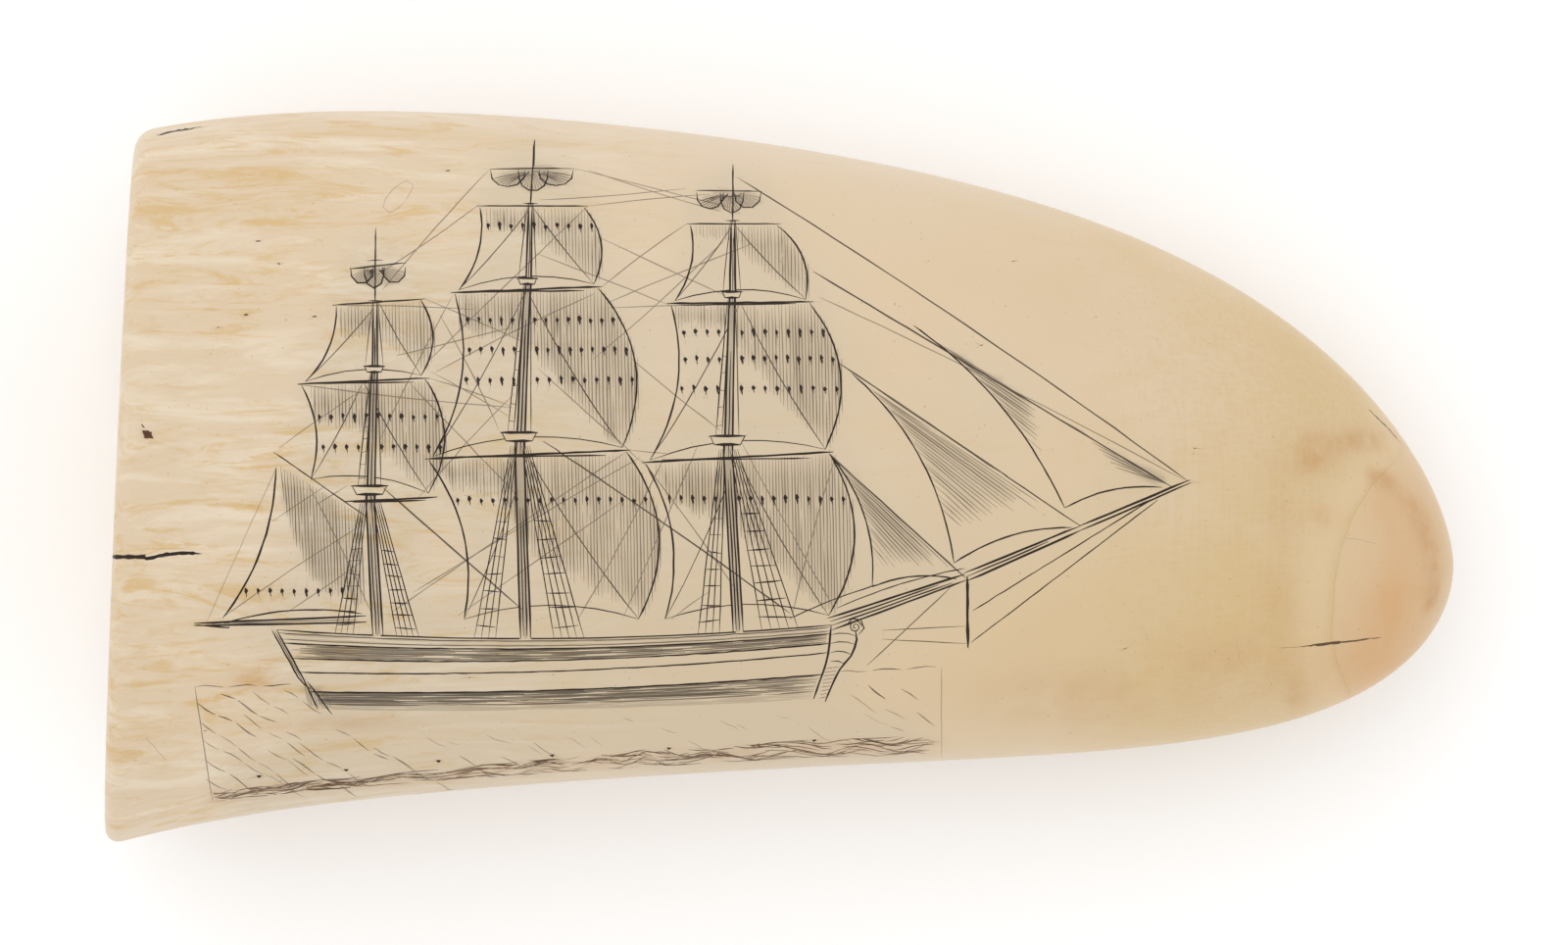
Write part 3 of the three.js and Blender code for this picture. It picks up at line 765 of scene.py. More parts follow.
# Cracks, pits and scratches in the ivory: points, width, strength.
MARK_STEP = 0.4
TIP_CRACK = [(130.9, -19.95), (133.3, -19.8), (136.2, -19.5), (139.4, -19.15), (142.6, -18.75)]
PATCH_EDGE = [  # of the rosy patch at the tip, with a hairline along it
    (146.0, 3.0), (144.3, 1.2), (141.6, -1.4), (139.3, -5.0), (137.9, -8.7), (137.2, -12.6), (136.9, -18.6),
    (137.6, -21.6), (140.6, -28.0),
]
PIT = [
    ([(3.0, 4.6), (3.4, 4.3), (3.8, 4.05), (4.2, 3.7)], 0.75, 1.0),
    ([(3.1, 3.9), (3.5, 3.75), (3.9, 4.3), (4.1, 4.5)], 0.4, 0.95),
    ([(2.9, 5.3), (3.05, 5.1), (3.25, 4.9)], 0.36, 0.9),
]
CRACKS = [
    ([(2.9, -9.55), (3.6, -9.8), (5.6, -9.3), (8.2, -9.15), (9.6, -9.25)], 0.38, 1.0),
    ([(2.9, -9.85), (4.5, -9.65), (7.0, -9.35)], 0.2, 0.8),
    ([(3.6, 37.95), (6.4, 38.5), (9.3, 38.95)], 0.65, 0.95),
    ([(141.2, 7.1), (143.1, 5.3), (144.9, 3.3)], 0.24, 0.75),
    (TIP_CRACK, 0.12, 0.7),
    (TIP_CRACK[1:], 0.22, 0.85),
    ([mix(TIP_CRACK[1], TIP_CRACK[2], 0.4), *TIP_CRACK[2:4]], 0.34, 0.9),
    ([(3.2, -29.9), (4.2, -31.0), (5.5, -32.6)], 0.1, 0.6),
    ([*PATCH_EDGE[1:-1], (139.2, -25.4)], 0.07, 0.4),
    ([(138.3, -7.6), (139.8, -7.6), (142.0, -8.2)], 0.09, 0.4),
    ([(126.0, -18.6), (126.6, -21.6), (127.6, -22.4)], 0.08, 0.3),
    *PIT,
    ([(3.6, 34.2), (10.0, 34.1), (20.0, 34.6)], 0.06, 0.2),
    ([(4.0, 31.8), (12.0, 31.9), (17.0, 32.3)], 0.06, 0.2),
    ([(2.9, 26.6), (8.8, 26.7), (13.0, 26.5)], 0.06, 0.2),
]
RING_MARK = {"middle": (31.6, 31.0), "along": 1.0, "across": 2.2, "turn": -0.7}
SPECKS = [
    (37.2, 33.9, 0.5), (15.9, 25.9, 0.55), (18.3, 23.3, 0.25), (14.6, 17.6, 0.5), (22.3, 17.4, 0.5),
    (18.2, 23.4, 0.22), (11.5, 16.2, 0.2), (101.0, 23.7, 0.25), (97.3, 14.2, 0.25), (121.4, 2.6, 0.2),
    (39.7, -23.2, 0.25), (9.9, -29.2, 0.2), (113.5, -20.0, 0.25),
]
SPECK_WIDTH = 0.26


def marks():
    for points, width, ink in CRACKS:
        stroke(points, width * 0.45, ink, MARK_STEP, HATCH_WOBBLE)
        if width > FINE:
            inner = [mix(points[0], points[1], 0.3), *points[1:-1], mix(points[-2], points[-1], 0.6)]
            stroke(inner, width, ink, MARK_STEP, HATCH_WOBBLE)
    x, y = RING_MARK["middle"]
    lean = RING_MARK["turn"]
    around = []
    for turn in np.linspace(0, 2 * math.pi, 19):
        a, b = RING_MARK["along"] * math.cos(turn), RING_MARK["across"] * math.sin(turn)
        across, up = a * math.cos(lean) - b * math.sin(lean), a * math.sin(lean) + b * math.cos(lean)
        around.append((x + across, y + up))
    stroke(around, HATCH, 0.35, STROKE_STEP, 0.05)
    for x, y, size in SPECKS:
        stroke([(x - size / 2, y), (x + size / 2, y + 0.03)], SPECK_WIDTH, 0.85, 0.3, 0.0)


# The engraved face, laid out flat in tiles, each cut up along the strokes that cross it.
RING_STEP = 2 * math.pi / AROUND * ARC
FACE_LOW = FACE_FROM * RING_STEP


def stretch_of(flat):
    """Millimetres on the tooth to a millimetre on the flat face, along and round."""
    nudge = 0.05
    scales = []
    for shift in ([nudge, 0.0], [0.0, nudge]):
        spread = unflatten(flat + shift) - unflatten(flat - shift)
        scales.append(np.linalg.norm(spread, axis=-1) / (2 * nudge))
    return np.stack(scales, axis=-1)


def stroke_cells():
    """The strokes laid out flat, as four-sided cells with their centre line and half width."""
    cells = []
    for line, half, width, ink in strokes:
        middle = flatten(line)
        stretch = stretch_of(middle)
        run = np.gradient(middle, axis=0) * stretch
        run /= np.maximum(np.linalg.norm(run, axis=1, keepdims=True), 1e-9)
        offset = np.stack([-run[:, 1], run[:, 0]], axis=-1) * half[:, None] / stretch
        edge_a, edge_b = middle - offset, middle + offset
        deep = GROOVE_SLOPE * width if ink > WASH_INK else 0.0
        for i in range(len(line) - 1):
            j = i + 1
            halves = max(np.linalg.norm(edge_a[i] - middle[i]), np.linalg.norm(edge_a[j] - middle[j]))
            facts = (middle[i], middle[j], halves, deep, ink)
            if width >= GROOVE_FROM:
                cells.append(([edge_a[i], middle[i], middle[j], edge_a[j]], facts))
                cells.append(([middle[i], edge_b[i], edge_b[j], middle[j]], facts))
            else:
                cells.append(([edge_a[i], edge_b[i], edge_b[j], edge_a[j]], facts))
    return cells


def clip(polygon, axis, limit, keep_low):
    """The part of a polygon on one side of a limit."""
    kept = []
    for p, q in zip(polygon, polygon[1:] + polygon[:1]):
        p_in = p[axis] <= limit if keep_low else p[axis] >= limit
        q_in = q[axis] <= limit if keep_low else q[axis] >= limit
        if p_in:
            kept.append(p)
        if p_in != q_in:
            a, b = (p, q) if p < q else (q, p)
            share = (limit - a[axis]) / (b[axis] - a[axis])
            cut = [a[0] + (b[0] - a[0]) * share, a[1] + (b[1] - a[1]) * share]
            cut[axis] = limit
            kept.append((round(cut[0], WELD), round(cut[1], WELD)))
    return kept


def node_place(row, column):
    """Where a corner of the plain grid lies on the flat face."""
    return round(FIRST_RING + row * STEP, WELD), round(column * RING_STEP, WELD)


def area(polygon):
    """Signed area, above zero where the corners run counter-clockwise."""
    return sum(p[0] * q[1] - q[0] * p[1] for p, q in zip(polygon, polygon[1:] + polygon[:1])) / 2


def sort_into_tiles(cells):
    """Cuts each cell of a stroke at the tiles' borders and files the pieces by tile."""
    tiles = {}
    wide, high = TILE * STEP, TILE * RING_STEP
    tiles_round = (FACE_TO - FACE_FROM) // TILE
    for corners, facts in cells:
        corners = [(round(float(c[0]), WELD), round(float(c[1]), WELD)) for c in corners]
        xs, ys = [c[0] for c in corners], [c[1] for c in corners]
        first_i, last_i = (int((v - FIRST_RING) // wide) for v in (min(xs), max(xs)))
        first_j, last_j = (int((v - FACE_LOW) // high) for v in (min(ys), max(ys)))
        for i in range(max(first_i, 0), min(last_i, TILES_ALONG - 1) + 1):
            for j in range(max(first_j, 0), min(last_j, tiles_round - 1) + 1):
                x, y = node_place(i * TILE, FACE_FROM + j * TILE)
                x_end, y_end = node_place((i + 1) * TILE, FACE_FROM + (j + 1) * TILE)
                piece = corners
                for axis, limit, low in ((0, x, False), (0, x_end, True), (1, y, False), (1, y_end, True)):
                    piece = clip(piece, axis, limit, low)
                    if len(piece) < 3:
                        break
                size = area(piece) if len(piece) >= 3 else 0
                if abs(size) > SMALLEST_PIECE:
                    piece = piece if size > 0 else piece[::-1]
                    tiles.setdefault((i, j), []).append((piece, facts))
    return tiles


def depth_of(points, facts):
    """How deep each point lies in the cuts: the deepest of those that hold it."""
    starts = np.array([f[0] for f in facts])
    runs = np.array([f[1] for f in facts]) - starts
    halves = np.array([f[2] for f in facts])
    deeps = np.array([f[3] for f in facts])
    lengths = np.maximum((runs**2).sum(axis=1), 1e-12)
    offset = points[:, None, :] - starts[None]
    share = np.clip((offset * runs[None]).sum(axis=2) / lengths, 0, 1)
    away = np.linalg.norm(offset - share[..., None] * runs[None], axis=2)
    return (deeps * np.clip(1 - away / np.maximum(halves, 1e-6), 0, 1)).max(axis=1)


OUTSIDE, BUTT, HOLLOW = 0, 1, 2


class Skin:
    """Corners and faces of the tooth, with ink for each face and the part of the tooth it is on."""

    def __init__(self):
        self.points = []  # of the tooth, once the engraved face is bent to its shape
        self.flat = []  # distance along and round, in millimetres
        self.depth = []
        self.index = {}
        self.faces, self.ink, self.zone = [], [], []

    def corner(self, x, y, depth=0.0):
        key = (round(x, WELD), round(y, WELD))
        if key not in self.index:
            self.index[key] = len(self.flat)
            self.flat.append(key)
            self.depth.append(depth)
        number = self.index[key]
        self.depth[number] = max(self.depth[number], depth)
        return number

    def face(self, corners, ink=0.0, zone=OUTSIDE):
        if len(set(corners)) == len(corners):
            self.faces.append(tuple(corners))
            self.ink.append(ink)
            self.zone.append(zone)

    def ring(self, t, wide, thick, columns):
        """New corners of a ring at the given columns, as a mapping from column to corner."""
        angles = np.array(columns) * 2 * math.pi / AROUND
        start = len(self.points)
        self.points.extend(section(np.full(len(columns), float(t)), angles, wide, thick))
        self.flat.extend((t * LENGTH, c * RING_STEP) for c in columns)
        return {c: start + k for k, c in enumerate(columns)}

    def join(self, rings, zone=OUTSIDE):
        """Four-sided faces between rings of the same columns."""
        for low, high in zip(rings, rings[1:]):
            for c in range(AROUND):
                d = (c + 1) % AROUND
                self.face((low[d], high[d], high[c], low[c]), 0.0, zone)


def engraved_face(skin):
    """Tiles of the flat face, plain ones as a grid and the others cut up along their strokes."""
    tiles = sort_into_tiles(stroke_cells())
    for i in range(TILES_ALONG):
        for j in range((FACE_TO - FACE_FROM) // TILE):
            grid = range(TILE + 1)
            nodes = [node_place(i * TILE + a, FACE_FROM + j * TILE + b) for a in grid for b in grid]
            if (i, j) not in tiles:
                numbers = [skin.corner(*n) for n in nodes]
                for a in range(TILE):
                    for b in range(TILE):
                        k = a * (TILE + 1) + b
                        skin.face((numbers[k], numbers[k + 1], numbers[k + TILE + 2], numbers[k + TILE + 1]))
                continue
            points = [Vector(n) for n in nodes]
            outlines = []
            for piece, _ in tiles[(i, j)]:
                outlines.append(tuple(range(len(points), len(points) + len(piece))))
                points += [Vector(p) for p in piece]
            made, _, triangles, _, _, owners = delaunay_2d_cdt(points, [], outlines, 0, 1e-5, True)
            made = np.array([tuple(p) for p in made])
            depths = depth_of(made, [facts for _, facts in tiles[(i, j)]])
            numbers = [skin.corner(float(p[0]), float(p[1]), d) for p, d in zip(made, depths)]
            for triangle, owner in zip(triangles, owners):
                ink = max((tiles[(i, j)][k][1][4] for k in owner), default=0.0)
                skin.face([numbers[k] for k in reversed(triangle)], ink)


def bend_face(skin):
    """Lays the flat face on the tooth, its cuts sunk in, and gives its true normals."""
    flat = np.array(skin.flat)
    nudge = 0.02
    along = unflatten(flat + [nudge, 0]) - unflatten(flat - [nudge, 0])
    across = unflatten(flat + [0, nudge]) - unflatten(flat - [0, nudge])
    normals = np.cross(across, along)
    normals /= np.linalg.norm(normals, axis=1, keepdims=True)
    skin.points = list(unflatten(flat) - normals * np.array(skin.depth)[:, None])
    return normals


ALL_ROUND = range(AROUND)
FACE_ROWS = TILES_ALONG * TILE


def body_rings(skin):
    """Rings round the body, which share the corners of the engraved face's edges."""
    back = [c % AROUND for c in range(FACE_TO, AROUND + FACE_FROM + 1)]
    body = []
    for row in range(FACE_ROWS + 1):
        t = (FIRST_RING + row * STEP) / LENGTH
        ring = skin.ring(t, half_width(t), half_thickness(t), back[1:-1])
        shared = range(FACE_FROM, FACE_TO + 1) if row in (0, FACE_ROWS) else (FACE_FROM, FACE_TO)
        for c in shared:
            ring[c] = skin.index[node_place(row, c)]
        body.append(ring)
    for low, high in zip(body, body[1:]):
        for c, d in zip(back, back[1:]):
            skin.face((low[d], high[d], high[c], low[c]))
    return body


def tip(skin, last_ring):
    last_t = (FIRST_RING + FACE_ROWS * STEP) / LENGTH
    rings = [last_ring]
    for i in range(1, TIP_RINGS):
        t = last_t + (1 - last_t) * math.sin(math.pi / 2 * i / TIP_RINGS)
        rings.append(skin.ring(t, half_width(t), half_thickness(t), ALL_ROUND))
    skin.join(rings)
    end = skin.ring(1.0, 0.0, 0.0, [0])[0]
    for c in ALL_ROUND:
        skin.face((rings[-1][(c + 1) % AROUND], end, rings[-1][c]))


def cavity(skin):
    """The empty pulp cavity with its rounded lip. Returns the ring at its mouth."""
    rings = []
    for i in range(CONE_RINGS - 1, 0, -1):
        share = i / CONE_RINGS
        t = (CAVITY_LIP + share * (CAVITY_DEPTH - CAVITY_LIP)) / LENGTH
        narrow = (1 - share**CONE_POWER) ** CONE_ROUNDING
        rings.append(skin.ring(t, CAVITY_WIDTH / 2 * narrow, CAVITY_THICKNESS / 2 * narrow, ALL_ROUND))
    for i in range(LIP_RINGS, -1, -1):
        turn = math.pi / 2 * i / LIP_RINGS
        lip = CAVITY_LIP * (1 - math.sin(turn))
        t = CAVITY_LIP * (1 - math.cos(turn)) / LENGTH
        rings.append(skin.ring(t, CAVITY_WIDTH / 2 + lip, CAVITY_THICKNESS / 2 + lip, ALL_ROUND))
    skin.join(rings, HOLLOW)
    deepest = skin.ring(CAVITY_DEPTH / LENGTH, 0.0, 0.0, [0])[0]
    for c in ALL_ROUND:
        skin.face((rings[0][(c + 1) % AROUND], rings[0][c], deepest), 0.0, HOLLOW)
    return rings[-1]


def sawn_root(skin, mouth, first_ring):
    """The flat end round the cavity's mouth, and its rounded edge up to the body."""
    butt = [mouth]
    mouth_wide, mouth_thick = CAVITY_WIDTH / 2 + CAVITY_LIP, CAVITY_THICKNESS / 2 + CAVITY_LIP
    for i in range(1, BUTT_RINGS + 1):
        share = i / BUTT_RINGS
        wide = mouth_wide + (half_width(0.0) - mouth_wide) * share
        thick = mouth_thick + (half_thickness(0.0) - mouth_thick) * share
        butt.append(skin.ring(0.0, wide, thick, ALL_ROUND))
    skin.join(butt, BUTT)
    edge = [butt[-1]]
    for i in range(1, EDGE_RINGS + 1):
        t = EDGE_ROUND * (1 - math.cos(math.pi / 2 * i / EDGE_RINGS)) / LENGTH
        edge.append(skin.ring(t, half_width(t), half_thickness(t), ALL_ROUND))
    skin.join(edge + [first_ring])


def whole_tooth():
    skin = Skin()
    engraved_face(skin)
    normals = bend_face(skin)
    body = body_rings(skin)
    tip(skin, body[-1])
    sawn_root(skin, cavity(skin), body[0])
    return skin, normals


# Where each part of the skin lies on the map that its colours are baked to, in pixels of a square.
MAP_SIZE = 4096
FRONT_MAP = {"scale": 20.0, "x": 30, "y": 1600}
BACK_MAP = {"scale": 12.2, "x": 30, "y": 30}
BUTT_MAP = {"scale": 12.0, "x": 3150, "y": 1700}
HOLLOW_MAP = {"scale": 8.0, "x": 2050, "y": 30}


def bake_places(skin, points):
    """A place on the map for each corner of each face."""
    half_turn = math.pi * ARC
    flat = np.array(skin.flat)
    places = []
    for corners, zone in zip(skin.faces, skin.zone):
        around = [flat[c][1] for c in corners]
        if max(around) - min(around) > half_turn:
            around = [a + 2 * half_turn if a < half_turn / 2 else a for a in around]
        if len(corners) == 3 and zone != BUTT and flat[corners[1]][0] >= LENGTH - 1e-6:
            around[1] = (around[0] + around[2]) / 2
        if len(corners) == 3 and zone == HOLLOW:
            around[2] = (around[0] + around[1]) / 2
        for c, a in zip(corners, around):
            x, y = flat[c][0], a
            spot = FRONT_MAP
            if zone == BUTT:
                x, y, spot = points[c][2], points[c][1] + ROOT_WIDTH / 2 + 3, BUTT_MAP
            elif zone == HOLLOW:
                spot = HOLLOW_MAP
            elif max(around) > half_turn + 1e-3:
                y, spot = a - half_turn, BACK_MAP
            places += [(spot["x"] + x * spot["scale"]) / MAP_SIZE, (spot["y"] + y * spot["scale"]) / MAP_SIZE]
    return places


def draw_picture():
    hull()
    for spec in MASTS:
        mast(spec)
    fore_and_aft()
    sea()
    picture_lines.extend((line, width, ink) for line, _, width, ink in strokes)
    marks()


# Fields on the skin that its colours are worked out from.
TINT_CELL = 0.4
TINT_BLUR = 1  # cells
WORN_BLUR = 8
GRID_HALF = ROOT_WIDTH * 0.6
BLUSHES = [  # x, y, reach along and across, strength
    (143.6, -16.5, 4.2, 5.2, 0.55),
    (146.0, -8.5, 3.6, 7.0, 0.4),
    (143.0, -3.4, 2.4, 2.6, 0.22),
    (142.0, -23.0, 5.5, 3.6, 0.5),
]
STAINS = [  # likewise
    (133.6, 1.8, 3.2, 1.9, 0.6),
    (139.5, 3.6, 4.6, 1.3, 0.45),
    (136.0, -5.4, 1.6, 1.6, 0.35),
    (131.0, -4.5, 1.6, 5.0, 0.18),
    (131.0, -15.0, 2.0, 5.0, 0.2),
    (127.5, -22.0, 10.0, 3.5, 0.2),
    (132.8, -25.5, 1.2, 1.8, 0.3),
    (108.0, -25.5, 10.0, 3.0, 0.22),
    (25.0, -28.4, 7.5, 0.8, 0.35),
    (15.5, -23.6, 2.6, 1.5, 0.3),
]
RUSTY = [(x, y, 0.7, 0.7, 1.0) for x, y, _ in SPECKS]
RUSTY += [(3.4, 4.4, 1.4, 1.4, 1.2), (*RING_MARK["middle"], 3.0, 3.0, 1.0)]
STAIN_LINE = [(142.0, -0.6), (145.3, -2.6), (147.2, -5.6), (148.5, -9.0), (148.8, -12.6), (148.2, -15.0)]


def blobs_at(points, blobs):
    """Soft blobs added up, each its strength at its middle."""
    total = np.zeros(len(points))
    for x, y, along, across, strength in blobs:
        total += strength * np.exp(-(((points[:, 0] - x) / along) ** 2) - ((points[:, 1] - y) / across) ** 2)
    return total


def near_line(points, line, reach):
    """How close each point is to a line, 1 on it."""
    line = resample(line, 0.4)
    away = np.min(np.linalg.norm(points[:, None, :2] - line[None], axis=2), axis=1)
    return np.exp(-((away / reach) ** 2))


def ink_near(points, lines, blur):
    """How closely lines lie round each point: the grey that worked-in ink leaves."""
    across, up = int(LENGTH / TINT_CELL) + 1, int(2 * GRID_HALF / TINT_CELL) + 1

    def cells(places):
        columns = np.clip((places[:, 0] / TINT_CELL).astype(int), 0, across - 1)
        return columns, np.clip(((places[:, 1] + GRID_HALF) / TINT_CELL).astype(int), 0, up - 1)

    amount = np.zeros((across, up))
    for line, width, ink in lines:
        line = resample(line, TINT_CELL)
        runs = np.linalg.norm(np.diff(line, axis=0), axis=1)
        np.add.at(amount, cells((line[1:] + line[:-1]) / 2), runs * width * ink / TINT_CELL**2)
    reach = np.arange(-3 * blur, 3 * blur + 1)
    bell = np.exp(-(reach**2) / (2 * blur**2))
    bell /= bell.sum()
    for axis in (0, 1):
        amount = np.apply_along_axis(lambda row: np.convolve(row, bell, "same"), axis, amount)
    return amount[cells(points)]


def share_out(points):
    """How far out from the axis each point is, 1 on the skin."""
    x, y, z = points.T
    t = np.clip((x - SAW_LEAN * y) / (LENGTH - SAW_LEAN * y), 0, 1)
    wide = np.maximum(outline_half_width(t), 0.1)
    thick = np.maximum(half_thickness(t) + edge_inset(t), 0.1)
    n = SECTION_SQUARENESS
    return (np.abs((y - axis_across(t)) / wide) ** n + np.abs((z - axis_up(t)) / thick) ** n) ** (1 / n)


def close_gaps(mesh):
    """Fills the slivers that are left open where strokes meet at a tile's border."""
    shell = bmesh.new()
    shell.from_mesh(mesh)
    rim = [edge for edge in shell.edges if len(edge.link_faces) == 1]
    bmesh.ops.holes_fill(shell, edges=rim, sides=8)
    shell.to_mesh(mesh)
    shell.free()


def add_fields(mesh, skin, points):
    """Stores on the mesh what its colours are worked out from."""
    upper = points[:, 2] > axis_up(np.clip(points[:, 0] / LENGTH, 0, 1))
    blush = blobs_at(points, BLUSHES)
    stain = blobs_at(points, STAINS) + 0.5 * near_line(points, STAIN_LINE, 1.05)
    stain += 0.3 * near_line(points, SEA_MIDDLE, 0.9)
    rust = blobs_at(points, RUSTY) + near_line(points, SEA_MIDDLE, 1.5)
    rust += 0.5 * near_line(points, TIP_CRACK, 1.5)
    edge_x = np.interp(-points[:, 1], [-y for _, y in PATCH_EDGE], [x for x, _ in PATCH_EDGE])
    on_points = {
        "tint": np.where(upper, ink_near(points, hatching, TINT_BLUR), 0),
        "worn": np.where(upper, ink_near(points, picture_lines, WORN_BLUR), 0),
        "out": share_out(points),
        "blush": np.where(upper, blush, 0.3 * blush),
        "stain": np.where(upper, stain, 0),
        "rust": np.where(upper, rust, 0),
        "patch": points[:, 0] - edge_x,
    }
    zones = np.array(skin.zone)
    on_faces = {"ink": np.array(skin.ink), "butt": zones == BUTT, "hollow": zones == HOLLOW}
    for fields, domain in ((on_points, "POINT"), (on_faces, "FACE")):
        for name, values in fields.items():
            stored = mesh.attributes.new(name, "FLOAT", domain).data
            padded = np.zeros(len(stored), np.float32)
            padded[: len(values)] = values
            stored.foreach_set("value", padded)


def make_tooth():
    skin, face_normals = whole_tooth()
    points = np.array(skin.points)
    points[:, 2] = np.maximum(points[:, 2], 0)
    mesh = bpy.data.meshes.new("tooth")
    mesh.from_pydata(((points + SAW_CUT_PLACE) * MM).tolist(), [], skin.faces)
    mesh.update()
    close_gaps(mesh)
    add_fields(mesh, skin, points)
    places = np.zeros(2 * len(mesh.loops), np.float32)
    made_places = bake_places(skin, points)
    places[: len(made_places)] = made_places
    mesh.uv_layers.new(name="OFBake").data.foreach_set("uv", places)
    for polygon in mesh.polygons:
        polygon.use_smooth = True
    normals = np.array([tuple(v.normal) for v in mesh.vertices])
    normals[: len(face_normals)] = face_normals
    mesh.normals_split_custom_set_from_vertices(normals.tolist())
    made = bpy.data.objects.new("scrimshaw_tooth", mesh)
    bpy.context.scene.collection.objects.link(made)
    return made


draw_picture()
tooth = make_tooth()


def srgb(red, green, blue, alpha=1.0):
    """A colour as seen, 0 to 255, turned into light."""
    parts = (c / 255 for c in (red, green, blue))
    return (*(c / 12.92 if c <= 0.04045 else ((c + 0.055) / 1.055) ** 2.4 for c in parts), alpha)


# Tones of the ivory. Two tones are mixed by a mottle.
CREAM = srgb(213, 190, 157)
PALE = srgb(215, 195, 168)
HONEY = srgb(206, 178, 128)
TAN = srgb(207, 174, 120)
UMBER = srgb(196, 152, 92)
MILK = srgb(226, 211, 187)
WEAVE = srgb(200, 168, 114)
BESIDE_PATCH = srgb(218, 193, 156)
ROSE = (srgb(213, 184, 148), srgb(214, 189, 156))
PEACH = srgb(207, 156, 102)
STAIN = srgb(186, 136, 80)
WORKED_IN = srgb(174, 170, 152)
HATCHED = srgb(164, 147, 123)
PORES = srgb(120, 92, 60)
RINGS = (srgb(219, 199, 163), srgb(203, 176, 132))
SAW_MARKS = srgb(196, 168, 122)
RIM = srgb(228, 214, 187)
SEAM = srgb(150, 114, 68)
# The cavity's own tone at its mouth, then a dark brown of painted shade deeper in the hollow.
HOLLOW_TONE_AND_PAINTED_SHADE = (srgb(196, 164, 118), srgb(112, 80, 48))
INK = (srgb(22, 11, 2), srgb(46, 28, 12))
RUST_INK = (srgb(58, 32, 14), srgb(104, 66, 34))
RING_RATE = 150  # turns of a growth ring's wave, in radians, from the axis to the skin
GLOSS = 0.28
GRAIN_DEPTH = 0.00006
FIELDS = ("ink", "tint", "out", "patch", "butt", "hollow", "blush", "stain", "rust", "worn")
EDGE_CRACK = {"before": -71.3, "y": -9.17, "above": 35.0, "half": 0.3}  # where it runs over the sawn edge


class Nodes:
    """Short names for the nodes of a material."""

    def __init__(self, name):
        self.material = bpy.data.materials.new(name)
        self.material.use_nodes = True
        self.tree = self.material.node_tree
        self.shader = self.tree.nodes["Principled BSDF"]
        self.place = self.add("ShaderNodeTexCoord").outputs["Object"]

    def add(self, kind, **settings):
        node = self.tree.nodes.new(kind)
        for key, value in settings.items():
            setattr(node, key, value)
        return node

    def plug(self, socket, value):
        if isinstance(value, bpy.types.NodeSocket):
            self.tree.links.new(value, socket)
        else:
            socket.default_value = value

    def math(self, operation, a, b=0.0):
        node = self.add("ShaderNodeMath", operation=operation)
        self.plug(node.inputs[0], a)
        self.plug(node.inputs[1], b)
        return node.outputs[0]

    def times(self, a, b):
        return self.math("MULTIPLY", a, b)

    def within(self, value):
        """A value kept between 0 and 1."""
        return self.math("MINIMUM", self.math("MAXIMUM", value, 0.0), 1.0)

    def ramp(self, value, low, high, out_low=0.0, out_high=1.0):
        node = self.add("ShaderNodeMapRange", interpolation_type="SMOOTHSTEP")
        self.plug(node.inputs["Value"], value)
        self.plug(node.inputs["From Min"], low)
        self.plug(node.inputs["From Max"], high)
        self.plug(node.inputs["To Min"], out_low)
        self.plug(node.inputs["To Max"], out_high)
        return node.outputs["Result"]

    def mix(self, share, a, b):
        node = self.add("ShaderNodeMix", data_type="RGBA")
        self.plug(node.inputs["Factor"], share)
        self.plug(node.inputs[6], a)
        self.plug(node.inputs[7], b)
        return node.outputs[2]

    def attribute(self, name):
        return self.add("ShaderNodeAttribute", attribute_name=name).outputs["Fac"]

    def noise(self, scale, stretch=(1, 1, 1), detail=4.0, roughness=0.55, shift=(0, 0, 0), swirl=0.0):
        mapping = self.add("ShaderNodeMapping")
        self.plug(mapping.inputs["Vector"], self.place)
        mapping.inputs["Scale"].default_value = stretch
        mapping.inputs["Location"].default_value = shift
        node = self.add("ShaderNodeTexNoise")
        self.plug(node.inputs["Vector"], mapping.outputs["Vector"])
        node.inputs["Scale"].default_value = scale
        node.inputs["Detail"].default_value = detail
        node.inputs["Roughness"].default_value = roughness
        node.inputs["Distortion"].default_value = swirl
        return node.outputs["Fac"]


def body_tones(n, x, y):
    """Cream that turns to honey towards the tip and on the low side, with a faint weave there."""
    colour = n.mix(n.ramp(n.noise(20, (0.4, 1, 1), 3), 0.36, 0.66), CREAM, PALE)
    to_tip = n.ramp(x, 0.0, 0.062)
    low_side = n.times(n.ramp(y, 0.006, -0.028), 0.37)
    wash = n.times(n.ramp(n.noise(34, (0.8, 1, 1), 4, 0.6, (2, 4, 1)), 0.3, 0.66), 0.5)
    share = n.times(to_tip, n.math("ADD", n.math("ADD", 0.2, wash), low_side))
    colour = n.mix(n.within(share), colour, HONEY)
    weave = n.times(n.noise(2300, (1, 0.07, 1), 2, 0.5), n.noise(2300, (0.07, 1, 1), 2, 0.5))
    return n.mix(n.ramp(n.times(weave, to_tip), 0.14, 0.34, 0, 0.22), colour, WEAVE)


